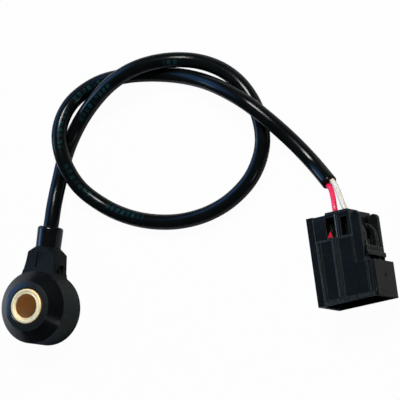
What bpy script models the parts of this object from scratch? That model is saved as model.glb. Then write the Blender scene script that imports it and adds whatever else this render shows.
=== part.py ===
"""Engine knock sensor with its cable and plug.

A ring shaped sensor is clamped under one M8 bolt by the metal bush in its middle. A piezo ring and
a seismic mass sit round the bush, under a ring nut, inside a moulded plastic head. A square neck
and a round boot carry the cable away. The cable lies on the table in a loose overhand knot, and
its two wires end in the terminals of a moulded plug with a latch on its side.

Lengths are in metres, +Z is up, the table is at z = 0 and the neck points along +Y. The origin is
the middle of the sensor's underside, taken without the cable and the plug.
"""

import math

import bmesh
import bpy
from mathutils import Matrix, Vector

MM = 0.001

# Play left between two pieces that touch on the real sensor
SEAT_GAP = 0.3 * MM

# How far a helper shape reaches into the one that it joins, and past the one that it cuts
JOIN_OVERLAP = 2.0 * MM
CUT_PAST = 1.0 * MM

# Metal bush
BORE_DIAMETER = 8.4 * MM
BORE_CHAMFER = 0.3 * MM
BUSH_DIAMETER = 12.8 * MM
BUSH_HEIGHT = 17.2 * MM
BUSH_EDGE = 0.25 * MM
FLANGE_DIAMETER = 22.0 * MM
FLANGE_THICKNESS = 2.2 * MM
FLANGE_EDGE = 0.3 * MM

# Stack of rings on the bush, from the flange upwards
SLEEVE_WALL = 0.4 * MM
RING_DIAMETER = 21.0 * MM
INSULATOR_THICKNESS = 0.4 * MM
CONTACT_THICKNESS = 0.4 * MM
PIEZO_THICKNESS = 2.2 * MM
PIEZO_EDGE = 0.2 * MM
MASS_DIAMETER = 21.4 * MM
MASS_EDGE = 0.5 * MM
SPRING_DIAMETER = 18.0 * MM
SPRING_THICKNESS = 0.5 * MM
SPRING_RISE = 0.5 * MM
NUT_ACROSS_CORNERS = 18.4 * MM
NUT_HEIGHT = 2.2 * MM

# Contact tabs that reach into the neck
TAB_WIDTH = 1.8 * MM
TAB_REACH = 15.0 * MM
TAB_OFFSET = 1.5 * MM

# Moulded head
HEAD_DIAMETER = 26.4 * MM
HEAD_BASE = 0.4 * MM
SHOULDER_DROP = 4.1 * MM
TOP_RING_DIAMETER = 18.0 * MM
TOP_WALL = 1.5 * MM
BUSH_PROUD = 0.6 * MM
HEAD_EDGE = 0.35 * MM

# Square neck, which tapers towards the boot
NECK_AXIS_HEIGHT = 6.6 * MM
NECK_ROOT_WIDTH = 12.6 * MM
NECK_TIP_WIDTH = 10.8 * MM
NECK_ROOT_HEIGHT = 10.0 * MM
NECK_TIP_HEIGHT = 9.4 * MM
NECK_FILLET = 3.0 * MM
NECK_FILLET_SINK = 0.2 * MM
NECK_CORNER = 0.5 * MM
NECK_END = 22.2 * MM
NECK_CONE_ANGLE = math.radians(50.0)
TOP_DIMPLE_LEFT = 1.4 * MM
TOP_DIMPLE_RIGHT = 0.5 * MM
TOP_DIMPLE_FROM = 15.0 * MM
TOP_DIMPLE_TO = 19.6 * MM
DIMPLE_DEPTH = 0.35 * MM
GATE_DIMPLE_LOW = 4.4 * MM
GATE_DIMPLE_HIGH = 7.8 * MM
GATE_DIMPLE_FROM = 13.6 * MM
GATE_DIMPLE_TO = 16.6 * MM

# Round boot round the cable
BOOT_ROOT_DIAMETER = 9.2 * MM
BOOT_END_DIAMETER = 9.5 * MM
BOOT_END = 29.9 * MM
BOOT_CHAMFER = 0.9 * MM
CABLE_ENTRY_DEPTH = 8.6 * MM

# Room round the cable's hole in the channel that holds the two leads inside the neck
CHANNEL_MARGIN = 0.3 * MM

# Cable and wires
CABLE_DIAMETER = 5.6 * MM
WIRE_DIAMETER = 1.8 * MM
WIRE_SPACING = 2.3 * MM
CABLE_POINT_SPACING = 8.4 * MM

# Route of the cable from the boot to its cut end, in millimetres, chosen by eye
CABLE_ROUTE = [
    (0.0, 24.4, 6.4), (-0.4, 29.6, 5.5), (-0.7, 38.2, 3.6), (0.5, 49.4, 2.9),
    (4.4, 59.9, 3.2), (11.2, 68.8, 5.6), (19.6, 76.1, 8.4), (29.1, 82.0, 8.9),
    (39.5, 85.7, 6.7), (50.4, 86.7, 3.7), (61.4, 84.3, 2.9), (71.0, 78.5, 2.9),
    (78.2, 69.5, 2.9), (81.3, 58.8, 2.9), (78.9, 47.9, 2.9), (72.0, 38.9, 2.9),
    (62.8, 32.6, 2.9), (52.0, 28.8, 2.9), (40.7, 27.5, 2.9), (29.4, 28.4, 2.9),
    (18.7, 31.6, 3.6), (9.3, 37.4, 6.2), (3.0, 46.5, 8.9), (-0.2, 56.8, 8.6),
    (1.4, 67.0, 5.5), (9.4, 75.0, 3.0), (20.6, 78.9, 2.9), (31.9, 80.6, 2.9),
    (43.4, 80.9, 3.0), (54.3, 79.8, 4.9), (65.1, 77.3, 7.9), (75.9, 73.2, 9.1),
    (85.6, 67.5, 7.5), (94.5, 61.0, 4.7), (103.1, 54.2, 3.5), (111.9, 47.7, 5.8),
]

# Plug: corner of its wire end on the table, and the way that it is turned
PLUG_AT = (109.6 * MM, 33.6 * MM)
PLUG_TURN = math.radians(17.0)

# Plug body; across is from its left side, back is from its wire end
PLUG_WIDTH = 24.0 * MM
PLUG_LENGTH = 32.0 * MM
PLUG_HEIGHT = 16.2 * MM
CORE_WIDTH = 17.4 * MM
PLUG_EDGE = 0.5 * MM
HOOD_START = 19.0 * MM
HOOD_WALL = 1.6 * MM
HOOD_CORNER = 2.0 * MM
HOOD_REAR_WALL = 1.6 * MM
HOOD_FLOOR = 18.4 * MM
GUARD_REACH = 20.9 * MM
GUARD_START = 0.8 * MM
GUARD_THICKNESS = 1.8 * MM
GUARD_ROUND = 1.7 * MM

# Ledges and grooves on the plug's upper face
FACE_STEP = 0.45 * MM
FACE_STEP_AT = 9.0 * MM
FACE_STEP_LEFT = 2.7 * MM
GROOVE_DEPTH = 0.6 * MM
GROOVE_END = 30.0 * MM
GROOVES = ((2.7 * MM, 4.4 * MM), (8.8 * MM, 9.9 * MM), (10.5 * MM, 11.4 * MM))
GUARD_GROOVE = (17.0 * MM, 17.5 * MM)
HOOD_GROOVE = (21.3 * MM, 21.7 * MM)

# Terminal cavities and the windows above them
CAVITY_WIDTH = 3.2 * MM
CAVITY_LOW = 8.6 * MM
CAVITY_HIGH = 13.2 * MM
CAVITY_DEPTH = 16.6 * MM
CAVITY_MIDDLES = (9.5 * MM, 14.3 * MM)
WINDOW_FRONTS = (1.3 * MM, 1.9 * MM)
WINDOW_BACK = 8.5 * MM
WINDOW_TRIM = (0.0 * MM, 0.2 * MM)

# Latch: an arched lever with two legs, a cross plate and a thumb bar
LATCH_THICKNESS = 1.5 * MM
LATCH_OUTER = 20.7 * MM
LATCH_ROOT = 4.2 * MM
LATCH_ARCH = 5.0 * MM
LATCH_LOW = 2.4 * MM
LATCH_HIGH = 13.8 * MM
LATCH_LEG = 2.4 * MM
LATCH_PLATE_START = 12.9 * MM
LATCH_PLATE_END = 17.1 * MM
LATCH_END = 24.0 * MM
LATCH_PLATE_LIFT = 0.7 * MM
THUMB_BAR_START = 15.4 * MM
THUMB_BAR_TOP = 22.2 * MM
THUMB_BAR_MARGIN = 1.2 * MM
HOOK_HEIGHT = 1.1 * MM
HOOK_LENGTH = 1.6 * MM

# Terminals
TERMINAL_BODY_START = 8.9 * MM
TERMINAL_BODY_HEIGHT = 2.6 * MM
TERMINAL_CRIMP_START = 1.6 * MM
TERMINAL_CRIMP_WIDTH = 2.0 * MM
TERMINAL_CRIMP_HEIGHT = 1.5 * MM
BLADE_WIDTH = 1.5 * MM
BLADE_THICKNESS = 0.8 * MM
BLADE_END = 27.0 * MM
CRIMP_LIFT = 0.15 * MM

# Routes of the two wires in the plug's own frame, in millimetres: across, back from the wire end
# (negative in front of it), up. They start at the cable's cut end.
RED_WIRE_ROUTE = [(7.2, -10.2, 7.3), (8.6, -6.6, 9.3), (9.6, -2.4, 11.2), (9.6, 0.6, 11.9),
                  (9.3, 3.4, 12.1), (9.1, 6.0, 12.7), (9.0, 7.9, 13.5)]
WHITE_WIRE_ROUTE = [(9.4, -10.6, 7.4), (11.7, -6.6, 9.5), (13.4, -2.4, 11.2), (14.2, 0.4, 11.8),
                    (14.3, 2.6, 11.8)]

# Fineness of round pieces
HEAD_STEPS = 64
RING_STEPS = 48
FILLET_STEPS = 6

# Sizes that follow from the ones above
HEAD_RADIUS = HEAD_DIAMETER / 2
BUSH_RADIUS = BUSH_DIAMETER / 2
BORE_RADIUS = BORE_DIAMETER / 2
FLANGE_RADIUS = FLANGE_DIAMETER / 2
SLEEVE_INNER = BUSH_RADIUS + SEAT_GAP
SLEEVE_OUTER = SLEEVE_INNER + SLEEVE_WALL
RING_INNER = SLEEVE_OUTER + SEAT_GAP
RING_OUTER = RING_DIAMETER / 2
CAVITY_RADIUS = max(FLANGE_RADIUS, RING_OUTER, MASS_DIAMETER / 2) + SEAT_GAP
NUT_CAVITY_RADIUS = NUT_ACROSS_CORNERS / 2 + SEAT_GAP
BORE_AXIS_Y = (HEAD_RADIUS - BOOT_END) / 2
CABLE_RADIUS = CABLE_DIAMETER / 2
WIRE_RADIUS = WIRE_DIAMETER / 2

# Heights of the head, under the bush's end
HEAD_HEIGHT = BUSH_HEIGHT - BUSH_PROUD
SHOULDER_HEIGHT = HEAD_HEIGHT - SHOULDER_DROP
CEILING_Z = HEAD_HEIGHT - TOP_WALL

# Heights of the stack: rings from the flange up, nut and spring from the ceiling down, and the
# mass between them
LOWER_INSULATOR_Z = FLANGE_THICKNESS + SEAT_GAP
LOWER_CONTACT_Z = LOWER_INSULATOR_Z + INSULATOR_THICKNESS + SEAT_GAP
PIEZO_Z = LOWER_CONTACT_Z + CONTACT_THICKNESS + SEAT_GAP
UPPER_CONTACT_Z = PIEZO_Z + PIEZO_THICKNESS + SEAT_GAP
UPPER_INSULATOR_Z = UPPER_CONTACT_Z + CONTACT_THICKNESS + SEAT_GAP
SLEEVE_TOP = UPPER_INSULATOR_Z + INSULATOR_THICKNESS
NUT_Z = CEILING_Z - SEAT_GAP - NUT_HEIGHT
SPRING_Z = NUT_Z - SEAT_GAP - SPRING_RISE - SPRING_THICKNESS
MASS_Z = SLEEVE_TOP + SEAT_GAP
MASS_HEIGHT = SPRING_Z - SEAT_GAP - MASS_Z


def clear_scene():
    """Start from an empty scene."""
    for item in list(bpy.data.objects):
        bpy.data.objects.remove(item, do_unlink=True)


def make_material(name, colour, roughness, metallic=0.0):
    """A Principled material of one colour."""
    material = bpy.data.materials.new(name)
    material.use_nodes = True
    shader = material.node_tree.nodes["Principled BSDF"]
    shader.inputs["Base Color"].default_value = (*colour, 1.0)
    shader.inputs["Roughness"].default_value = roughness
    shader.inputs["Metallic"].default_value = metallic
    material.diffuse_color = (*colour, 1.0)
    return material


def make_frame(name, x, y, turn=0.0):
    """An empty that the pieces of one group are parented to."""
    frame = bpy.data.objects.new(name, None)
    frame.location = (x, y, 0.0)
    frame.rotation_euler = (0.0, 0.0, turn)
    bpy.context.collection.objects.link(frame)
    return frame


def add_object(name, bm, parent, material=None):
    """Turn a bmesh into a named object with its faces pointing out."""
    bmesh.ops.recalc_face_normals(bm, faces=bm.faces)
    mesh = bpy.data.meshes.new(name)
    bm.to_mesh(mesh)
    bm.free()
    mesh.shade_smooth()
    mesh.set_sharp_from_angle(angle=math.radians(35.0))
    item = bpy.data.objects.new(name, mesh)
    item.parent = parent
    bpy.context.collection.objects.link(item)
    if material:
        mesh.materials.append(material)
    return item


def join_shape(target, helper, operation="DIFFERENCE"):
    """Cut, join or keep a helper shape, which itself stays out of the model."""
    helper.hide_render = True
    helper.display_type = "WIRE"
    modifier = target.modifiers.new(helper.name, "BOOLEAN")
    modifier.operation = operation
    modifier.solver = "EXACT"
    modifier.object = helper


def turned(profile, steps):
    """Spin a closed profile of (radius, height) points round Z."""
    bm = bmesh.new()
    corners = [bm.verts.new((radius, 0.0, height)) for radius, height in profile]
    edges = [bm.edges.new((a, b)) for a, b in zip(corners, corners[1:] + corners[:1])]
    bmesh.ops.spin(bm, geom=corners + edges, cent=(0, 0, 0), axis=(0, 0, 1), angle=math.tau,
                   steps=steps, use_merge=True)
    return bm


def turned_along_neck(profile, steps):
    """Spin an open profile of (radius, distance) points round the neck's axis, with flat ends."""
    bm = bmesh.new()
    corners = [bm.verts.new((radius, 0.0, distance)) for radius, distance in profile]
    edges = [bm.edges.new((a, b)) for a, b in zip(corners, corners[1:])]
    bmesh.ops.spin(bm, geom=corners + edges, cent=(0, 0, 0), axis=(0, 0, 1), angle=math.tau,
                   steps=steps, use_merge=True)
    bmesh.ops.holes_fill(bm, edges=bm.edges, sides=0)
    quarter = Matrix.Rotation(math.radians(-90.0), 4, "X")
    lift = Matrix.Translation((0.0, 0.0, NECK_AXIS_HEIGHT))
    bmesh.ops.transform(bm, matrix=lift @ quarter, verts=bm.verts)
    bmesh.ops.recalc_face_normals(bm, faces=bm.faces)
    return bm


def block(low, high, edge=0.0, segments=2):
    """A box between two corners, with its edges rounded if asked."""
    bm = bmesh.new()
    bmesh.ops.create_cube(bm, size=1.0)
    low = Vector(low)
    high = Vector(high)
    size = high - low
    bmesh.ops.scale(bm, vec=size, verts=bm.verts)
    bmesh.ops.translate(bm, vec=(low + high) / 2, verts=bm.verts)
    if edge > 0.0:
        bmesh.ops.bevel(bm, geom=bm.edges, offset=edge, offset_type="OFFSET", segments=segments,
                        profile=0.5, affect="EDGES", material=-1, clamp_overlap=True)
    return bm


def plate(outline, low, high):
    """Extrude a closed outline of (x, y) points from one height to another."""
    bm = bmesh.new()
    corners = [bm.verts.new((x, y, low)) for x, y in outline]
    face = bm.faces.new(corners)
    grown = bmesh.ops.extrude_face_region(bm, geom=[face])
    raised = [item for item in grown["geom"] if isinstance(item, bmesh.types.BMVert)]
    bmesh.ops.translate(bm, vec=(0, 0, high - low), verts=raised)
    return bm


def arc(centre, radius, start, end, steps):
    """Points on an arc round a centre, with its angles in radians."""
    return [(centre[0] + radius * math.cos(start + (end - start) * step / steps),
             centre[1] + radius * math.sin(start + (end - start) * step / steps))
            for step in range(steps + 1)]


def smooth_path(route, spacing):
    """Points read from a smooth curve through the route, at an even spacing."""
    points = [Vector(point) for point in route]
    padded = [2 * points[0] - points[1]] + points + [2 * points[-1] - points[-2]]
    dense = []
    for before, start, end, after in zip(padded, padded[1:], padded[2:], padded[3:]):
        for step in range(24):
            t = step / 24
            dense.append(0.5 * (2 * start + (end - before) * t
                                + (2 * before - 5 * start + 4 * end - after) * t * t
                                + (3 * start - before - 3 * end + after) * t * t * t))
    dense.append(points[-1])
    total = sum((b - a).length for a, b in zip(dense, dense[1:]))
    count = max(2, round(total / spacing))
    path = [dense[0]]
    walked = 0.0
    for a, b in zip(dense, dense[1:]):
        walked += (b - a).length
        if walked >= total * len(path) / count and len(path) < count:
            path.append(b)
    path.append(dense[-1])
    return path


def tube(name, path, radius, parent, material, rounds=2):
    """A capped round tube along a path, as a curve object."""
    curve = bpy.data.curves.new(name, "CURVE")
    curve.dimensions = "3D"
    curve.bevel_depth = radius
    curve.bevel_resolution = rounds
    curve.use_fill_caps = True
    spline = curve.splines.new("POLY")
    spline.points.add(len(path) - 1)
    for point, place in zip(spline.points, path):
        point.co = (*place, 1.0)
    curve.materials.append(material)
    item = bpy.data.objects.new(name, curve)
    item.parent = parent
    bpy.context.collection.objects.link(item)
    return item


def make_mounting_bush(frame, brass):
    """Turned bush: the contact flange below, the bolt's seat above and the bore through it."""
    profile = [
        (BORE_RADIUS + BORE_CHAMFER, 0.0),
        (FLANGE_RADIUS - FLANGE_EDGE, 0.0),
        (FLANGE_RADIUS, FLANGE_EDGE),
        (FLANGE_RADIUS, FLANGE_THICKNESS),
        (BUSH_RADIUS, FLANGE_THICKNESS),
        (BUSH_RADIUS, BUSH_HEIGHT - BUSH_EDGE),
        (BUSH_RADIUS - BUSH_EDGE, BUSH_HEIGHT),
        (BORE_RADIUS + BORE_CHAMFER, BUSH_HEIGHT),
        (BORE_RADIUS, BUSH_HEIGHT - BORE_CHAMFER),
        (BORE_RADIUS, BORE_CHAMFER),
    ]
    add_object("mounting_bush", turned(profile, HEAD_STEPS), frame, brass)


def make_ring(name, inner, outer, low, height, frame, material, edge=0.0):
    """A flat ring, with its outer edges broken if asked."""
    edge = min(edge, height / 3)
    profile = [(inner, low), (outer - edge, low), (outer, low + edge),
               (outer, low + height - edge), (outer - edge, low + height), (inner, low + height)]
    if edge == 0.0:
        profile = [(inner, low), (outer, low), (outer, low + height), (inner, low + height)]
    return add_object(name, turned(profile, RING_STEPS), frame, material)


def make_contact_disc(name, low, side, frame, material):
    """A sheet metal contact ring with a tab that reaches into the neck."""
    ring = make_ring(name, RING_INNER, RING_OUTER, low, CONTACT_THICKNESS, frame, material)
    middle = side * TAB_OFFSET
    tab = block((middle - TAB_WIDTH / 2, (RING_INNER + RING_OUTER) / 2, low),
                (middle + TAB_WIDTH / 2, TAB_REACH, low + CONTACT_THICKNESS))
    join_shape(ring, add_object("tab_of_" + name, tab, frame), "UNION")


def make_disc_spring(frame, steel):
    """A coned washer that keeps the stack pressed together."""
    inner = BUSH_RADIUS + 2 * SEAT_GAP
    outer = SPRING_DIAMETER / 2
    profile = [(inner, SPRING_Z + SPRING_RISE), (outer, SPRING_Z),
               (outer, SPRING_Z + SPRING_THICKNESS),
               (inner, SPRING_Z + SPRING_RISE + SPRING_THICKNESS)]
    add_object("disc_spring", turned(profile, RING_STEPS), frame, steel)


def make_ring_nut(frame, steel):
    """A thin hexagon nut on the bush's thread."""
    bm = bmesh.new()
    corner = NUT_ACROSS_CORNERS / 2
    bmesh.ops.create_cone(bm, cap_ends=True, cap_tris=False, segments=6, radius1=corner,
                          radius2=corner, depth=NUT_HEIGHT)
    bmesh.ops.translate(bm, vec=(0, 0, NUT_Z + NUT_HEIGHT / 2), verts=bm.verts)
    nut = add_object("ring_nut", bm, frame, steel)
    hole = bmesh.new()
    radius = BUSH_RADIUS + SEAT_GAP
    bmesh.ops.create_cone(hole, cap_ends=True, cap_tris=False, segments=RING_STEPS,
                          radius1=radius, radius2=radius, depth=NUT_HEIGHT * 2)
    bmesh.ops.translate(hole, vec=(0, 0, NUT_Z + NUT_HEIGHT / 2), verts=hole.verts)
    join_shape(nut, add_object("hole_of_ring_nut", hole, frame))


def make_stack(frame, materials):
    """Everything that is clamped round the bush, from the flange upwards."""
    make_ring("insulating_sleeve", SLEEVE_INNER, SLEEVE_OUTER, LOWER_INSULATOR_Z,
              SLEEVE_TOP - LOWER_INSULATOR_Z, frame, materials["insulator"])
    make_ring("lower_insulator", RING_INNER, RING_OUTER, LOWER_INSULATOR_Z, INSULATOR_THICKNESS,
              frame, materials["insulator"])
    make_contact_disc("lower_contact_disc", LOWER_CONTACT_Z, -1, frame, materials["contact"])
    make_ring("piezo_ring", RING_INNER, RING_OUTER, PIEZO_Z, PIEZO_THICKNESS, frame,
              materials["piezo"], PIEZO_EDGE)
    make_contact_disc("upper_contact_disc", UPPER_CONTACT_Z, 1, frame, materials["contact"])
    make_ring("upper_insulator", RING_INNER, RING_OUTER, UPPER_INSULATOR_Z, INSULATOR_THICKNESS,
              frame, materials["insulator"])
    make_ring("seismic_mass", BUSH_RADIUS + SEAT_GAP, MASS_DIAMETER / 2, MASS_Z, MASS_HEIGHT,
              frame, materials["steel"], MASS_EDGE)
    make_disc_spring(frame, materials["steel"])
    make_ring_nut(frame, materials["steel"])


def neck_half(root, tip, y):
    """Half of the neck's width or height at a distance from the bore."""
    share = (y - HEAD_RADIUS) / (NECK_END - HEAD_RADIUS)
    return (root + (tip - root) * share) / 2


def neck_outline():
    """Plan of the neck: tapered sides that run into the head with a fillet on each side."""
    root = NECK_ROOT_WIDTH / 2
    tip = NECK_TIP_WIDTH / 2
    reach = HEAD_RADIUS - NECK_FILLET_SINK + NECK_FILLET
    middle_x = root + NECK_FILLET
    middle_y = math.sqrt(reach ** 2 - middle_x ** 2)
    toward_head = math.atan2(-middle_y, -middle_x)
    fillet = arc((middle_x, middle_y), NECK_FILLET, math.pi, math.tau + toward_head, FILLET_STEPS)
    wall = (HEAD_RADIUS + CAVITY_RADIUS) / 2
    last = math.atan2(fillet[-1][1], fillet[-1][0])
    inside = arc((0, 0), wall, last, math.pi - last, FILLET_STEPS * 2)
    right = [(tip, BOOT_END + CUT_PAST), (tip, NECK_END)] + fillet
    left = [(-x, y) for x, y in reversed(right)]
    return right + inside + left


def make_neck(frame):
    """Square neck that a turned shape cuts to a cone at its end, with the round boot beyond it."""
    half = NECK_ROOT_HEIGHT / 2
    bm = plate(neck_outline(), NECK_AXIS_HEIGHT - half, NECK_AXIS_HEIGHT + half)
    bmesh.ops.bisect_plane(bm, geom=bm.verts[:] + bm.edges[:] + bm.faces[:],
                           plane_co=(0, NECK_END, 0), plane_no=(0, 1, 0))
    for vert in bm.verts:
        side = 1 if vert.co.z > NECK_AXIS_HEIGHT else -1
        tapered = neck_half(NECK_ROOT_HEIGHT, NECK_TIP_HEIGHT, vert.co.y)
        if vert.co.y > BOOT_END:
            tapered = BOOT_END_DIAMETER
        vert.co.z = NECK_AXIS_HEIGHT + side * tapered
    bmesh.ops.recalc_face_normals(bm, faces=bm.faces)
    long_edges = [edge for edge in bm.edges
                  if abs(edge.verts[0].co.x - edge.verts[1].co.x) < NECK_ROOT_WIDTH / 4
                  and abs(edge.verts[0].co.y - edge.verts[1].co.y) > (BOOT_END - NECK_END) / 2]
    bmesh.ops.bevel(bm, geom=long_edges, offset=NECK_CORNER, segments=2, profile=0.5,
                    affect="EDGES", material=-1)
    neck = add_object("shape_of_neck", bm, frame)
    boot = BOOT_ROOT_DIAMETER / 2
    mouth = BOOT_END_DIAMETER / 2
    rise = NECK_ROOT_WIDTH
    run = rise / math.tan(NECK_CONE_ANGLE)
    cone = turned_along_neck([(boot + rise, 0), (boot + rise, NECK_END - run), (boot, NECK_END),
                              (mouth, BOOT_END - BOOT_CHAMFER), (mouth - BOOT_CHAMFER, BOOT_END)],
                             RING_STEPS)
    join_shape(neck, add_object("cone_and_boot", cone, frame), "INTERSECT")
    return neck


def make_sensor_overmould(frame, plastic):
    """Moulded head with its cavity for the stack, the neck, the boot and the lead channel."""
    top = TOP_RING_DIAMETER / 2
    hole = BUSH_RADIUS + SEAT_GAP
    profile = [
        (CAVITY_RADIUS, HEAD_BASE),
        (HEAD_RADIUS - HEAD_EDGE, HEAD_BASE),
        (HEAD_RADIUS, HEAD_BASE + HEAD_EDGE),
        (HEAD_RADIUS, SHOULDER_HEIGHT),
        (top, HEAD_HEIGHT),
        (hole, HEAD_HEIGHT),
        (hole, CEILING_Z),
        (NUT_CAVITY_RADIUS, CEILING_Z),
        (NUT_CAVITY_RADIUS, SPRING_Z),
        (CAVITY_RADIUS, SPRING_Z),
    ]
    head = add_object("sensor_overmould", turned(profile, HEAD_STEPS), frame, plastic)
    join_shape(head, make_neck(frame), "UNION")
    entry_radius = CABLE_RADIUS + SEAT_GAP
    entry_start = BOOT_END - CABLE_ENTRY_DEPTH - JOIN_OVERLAP
    half = entry_radius + CHANNEL_MARGIN
    channel = block((-half, RING_OUTER, LOWER_CONTACT_Z - SEAT_GAP),
                    (half, entry_start + JOIN_OVERLAP / 2, NECK_AXIS_HEIGHT + half))
    join_shape(head, add_object("cut_for_leads", channel, frame))
    entry = turned_along_neck([(entry_radius, entry_start), (entry_radius, BOOT_END + CUT_PAST)],
                              RING_STEPS)
    join_shape(head, add_object("cut_for_cable", entry, frame))
    face = NECK_AXIS_HEIGHT + NECK_TIP_HEIGHT / 2
    dimple = block((-TOP_DIMPLE_LEFT, TOP_DIMPLE_FROM, face - DIMPLE_DEPTH),
                   (TOP_DIMPLE_RIGHT, TOP_DIMPLE_TO, face + CUT_PAST))
    join_shape(head, add_object("dimple_on_top", dimple, frame))
    side = NECK_TIP_WIDTH / 2
    gate = block((side - DIMPLE_DEPTH, GATE_DIMPLE_FROM, GATE_DIMPLE_LOW),
                 (side + 2 * CUT_PAST, GATE_DIMPLE_TO, GATE_DIMPLE_HIGH))
    join_shape(head, add_object("dimple_on_side", gate, frame))


def make_leads(frame, materials):
    """The two leads inside the neck, from the contact tabs to the cable."""
    start = RING_OUTER + 2 * SEAT_GAP + HEAD_RADIUS - CAVITY_RADIUS
    end = BOOT_END - CABLE_ENTRY_DEPTH
    for name, side, low in (("white_lead", -1, LOWER_CONTACT_Z), ("red_lead", 1, UPPER_CONTACT_Z)):
        height = low + CONTACT_THICKNESS + SEAT_GAP + WIRE_RADIUS
        x_tab = side * TAB_OFFSET
        x_cable = side * WIRE_SPACING / 2
        path = [(x_tab, start, height), (x_tab, TAB_REACH, height),
                (x_cable, end - 2 * WIRE_DIAMETER, NECK_AXIS_HEIGHT),
                (x_cable, end, NECK_AXIS_HEIGHT)]
        tube(name, path, WIRE_RADIUS, frame, materials[name])


def cable_path():
    """Middle line of the cable, from inside the boot to its cut end."""
    inside = BORE_AXIS_Y + BOOT_END - CABLE_ENTRY_DEPTH + SEAT_GAP
    mouth = BORE_AXIS_Y + BOOT_END
    route = [(0.0, inside, NECK_AXIS_HEIGHT), (0.0, mouth, NECK_AXIS_HEIGHT)]
    route += [(x * MM, y * MM, z * MM) for x, y, z in CABLE_ROUTE]
    path = smooth_path(route, CABLE_POINT_SPACING)
    return [Vector((p.x, p.y, max(p.z, CABLE_RADIUS))) for p in path]


def wire_path(cable, side, route):
    """Middle line of one wire in the plug's frame, from the cable's cut end."""
    ahead = (cable[-1] - cable[-2]).normalized()
    across = ahead.cross(Vector((0, 0, 1))).normalized()
    start = cable[-1] + ahead * SEAT_GAP + across * side * WIRE_SPACING / 2
    to_plug = Matrix.Translation((*PLUG_AT, 0.0)) @ Matrix.Rotation(PLUG_TURN, 4, "Z")
    first = to_plug.inverted() @ start
    rest = [(x * MM, -y * MM, z * MM) for x, y, z in route]
    return smooth_path([first] + rest, 2 * WIRE_DIAMETER)


def plug_block(across, back, up, edge=0.0):
    """A box in the plug's frame from three ranges: across, back from the wire end, and up."""
    return block((across[0], -back[1], up[0]), (across[1], -back[0], up[1]), edge)


def add_plug_shape(housing, name, bm, operation="DIFFERENCE"):
    """Add one more helper shape to the housing."""
    join_shape(housing, add_object(name, bm, housing.parent), operation)


def add_guards(housing):
    """Two guard walls beside the latch, rounded at the wire end."""
    outline = arc((GUARD_REACH - GUARD_ROUND, -GUARD_START - GUARD_ROUND), GUARD_ROUND, 0.0,
                  math.pi, FILLET_STEPS)
    outline += [(GUARD_REACH - 2 * GUARD_ROUND, -2 * GUARD_START - GUARD_ROUND),
                (CORE_WIDTH - GUARD_THICKNESS, -2 * GUARD_START - GUARD_ROUND),
                (CORE_WIDTH - GUARD_THICKNESS, -HOOD_START - HOOD_WALL),
                (GUARD_REACH, -HOOD_START - HOOD_WALL)]
    for name, low in (("lower_guard", 0.0), ("upper_guard", PLUG_HEIGHT - GUARD_THICKNESS)):
        add_plug_shape(housing, name, plate(outline, low, low + GUARD_THICKNESS), "UNION")


def latch_profile():
    """Side view of the lever: it leaves the core in an arch and then runs straight back."""
    outer = LATCH_OUTER
    inner = LATCH_OUTER - LATCH_THICKNESS
    rise = outer - CORE_WIDTH
    root = CORE_WIDTH - LATCH_THICKNESS
    outside = []
    inside = []
    for step in range(FILLET_STEPS + 1):
        turn = math.pi / 2 * step / FILLET_STEPS
        outside.append((CORE_WIDTH + rise * math.sin(turn),
                        -LATCH_ROOT - LATCH_ARCH * (1 - math.cos(turn))))
        inside.append((CORE_WIDTH + (inner - CORE_WIDTH) * math.sin(turn),
                       -LATCH_ROOT - LATCH_THICKNESS
                       - (LATCH_ARCH - LATCH_THICKNESS) * (1 - math.cos(turn))))
    plate_top = outer + LATCH_PLATE_LIFT
    top = [(outer, -LATCH_PLATE_START), (plate_top, -LATCH_PLATE_START - LATCH_PLATE_LIFT),
           (plate_top, -LATCH_PLATE_END), (outer, -LATCH_PLATE_END), (outer, -LATCH_END)]
    hook = [(inner - HOOK_HEIGHT, -LATCH_END + HOOK_LENGTH / 2),
            (inner - HOOK_HEIGHT, -LATCH_END + HOOK_LENGTH),
            (inner, -LATCH_END + HOOK_LENGTH)]
    return ([(root, -LATCH_ROOT)] + outside + top + [(inner, -LATCH_END)] + hook
            + list(reversed(inside)) + [(root, -LATCH_ROOT - LATCH_THICKNESS)])


def add_latch(housing):
    """The lever with its opening, its thumb bar and the legs that pass under the hood."""
    lever = add_object("shape_of_lever", plate(latch_profile(), LATCH_LOW, LATCH_HIGH),
                       housing.parent)
    between_legs = (LATCH_LOW + LATCH_LEG, LATCH_HIGH - LATCH_LEG)
    opening = plug_block((CORE_WIDTH, PLUG_WIDTH), (0.0, LATCH_PLATE_START), between_legs)
    join_shape(lever, add_object("opening_of_lever", opening, housing.parent))
    gap = plug_block((CORE_WIDTH, PLUG_WIDTH), (LATCH_PLATE_END, LATCH_END - HOOK_LENGTH),
                     between_legs)
    join_shape(lever, add_object("gap_of_lever", gap, housing.parent))
    join_shape(housing, lever, "UNION")
    bar = plug_block((LATCH_OUTER - LATCH_THICKNESS / 2, THUMB_BAR_TOP),
                     (THUMB_BAR_START, LATCH_PLATE_END),
                     (THUMB_BAR_MARGIN, PLUG_HEIGHT - THUMB_BAR_MARGIN), SEAT_GAP)
    low_slot = (GUARD_THICKNESS / 2, LATCH_LOW)
    high_slot = (LATCH_HIGH, PLUG_HEIGHT - GUARD_THICKNESS / 2)
    add_plug_shape(housing, "thumb_bar", bar, "UNION")
    for name, reach in (("lower_bar_slot", low_slot), ("upper_bar_slot", high_slot)):
        slot = plug_block((LATCH_OUTER - LATCH_THICKNESS, GUARD_REACH + SEAT_GAP),
                          (THUMB_BAR_START - 2 * SEAT_GAP, LATCH_PLATE_END + 2 * SEAT_GAP), reach)
        join_shape(housing, add_object(name, slot, housing.parent))


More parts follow.
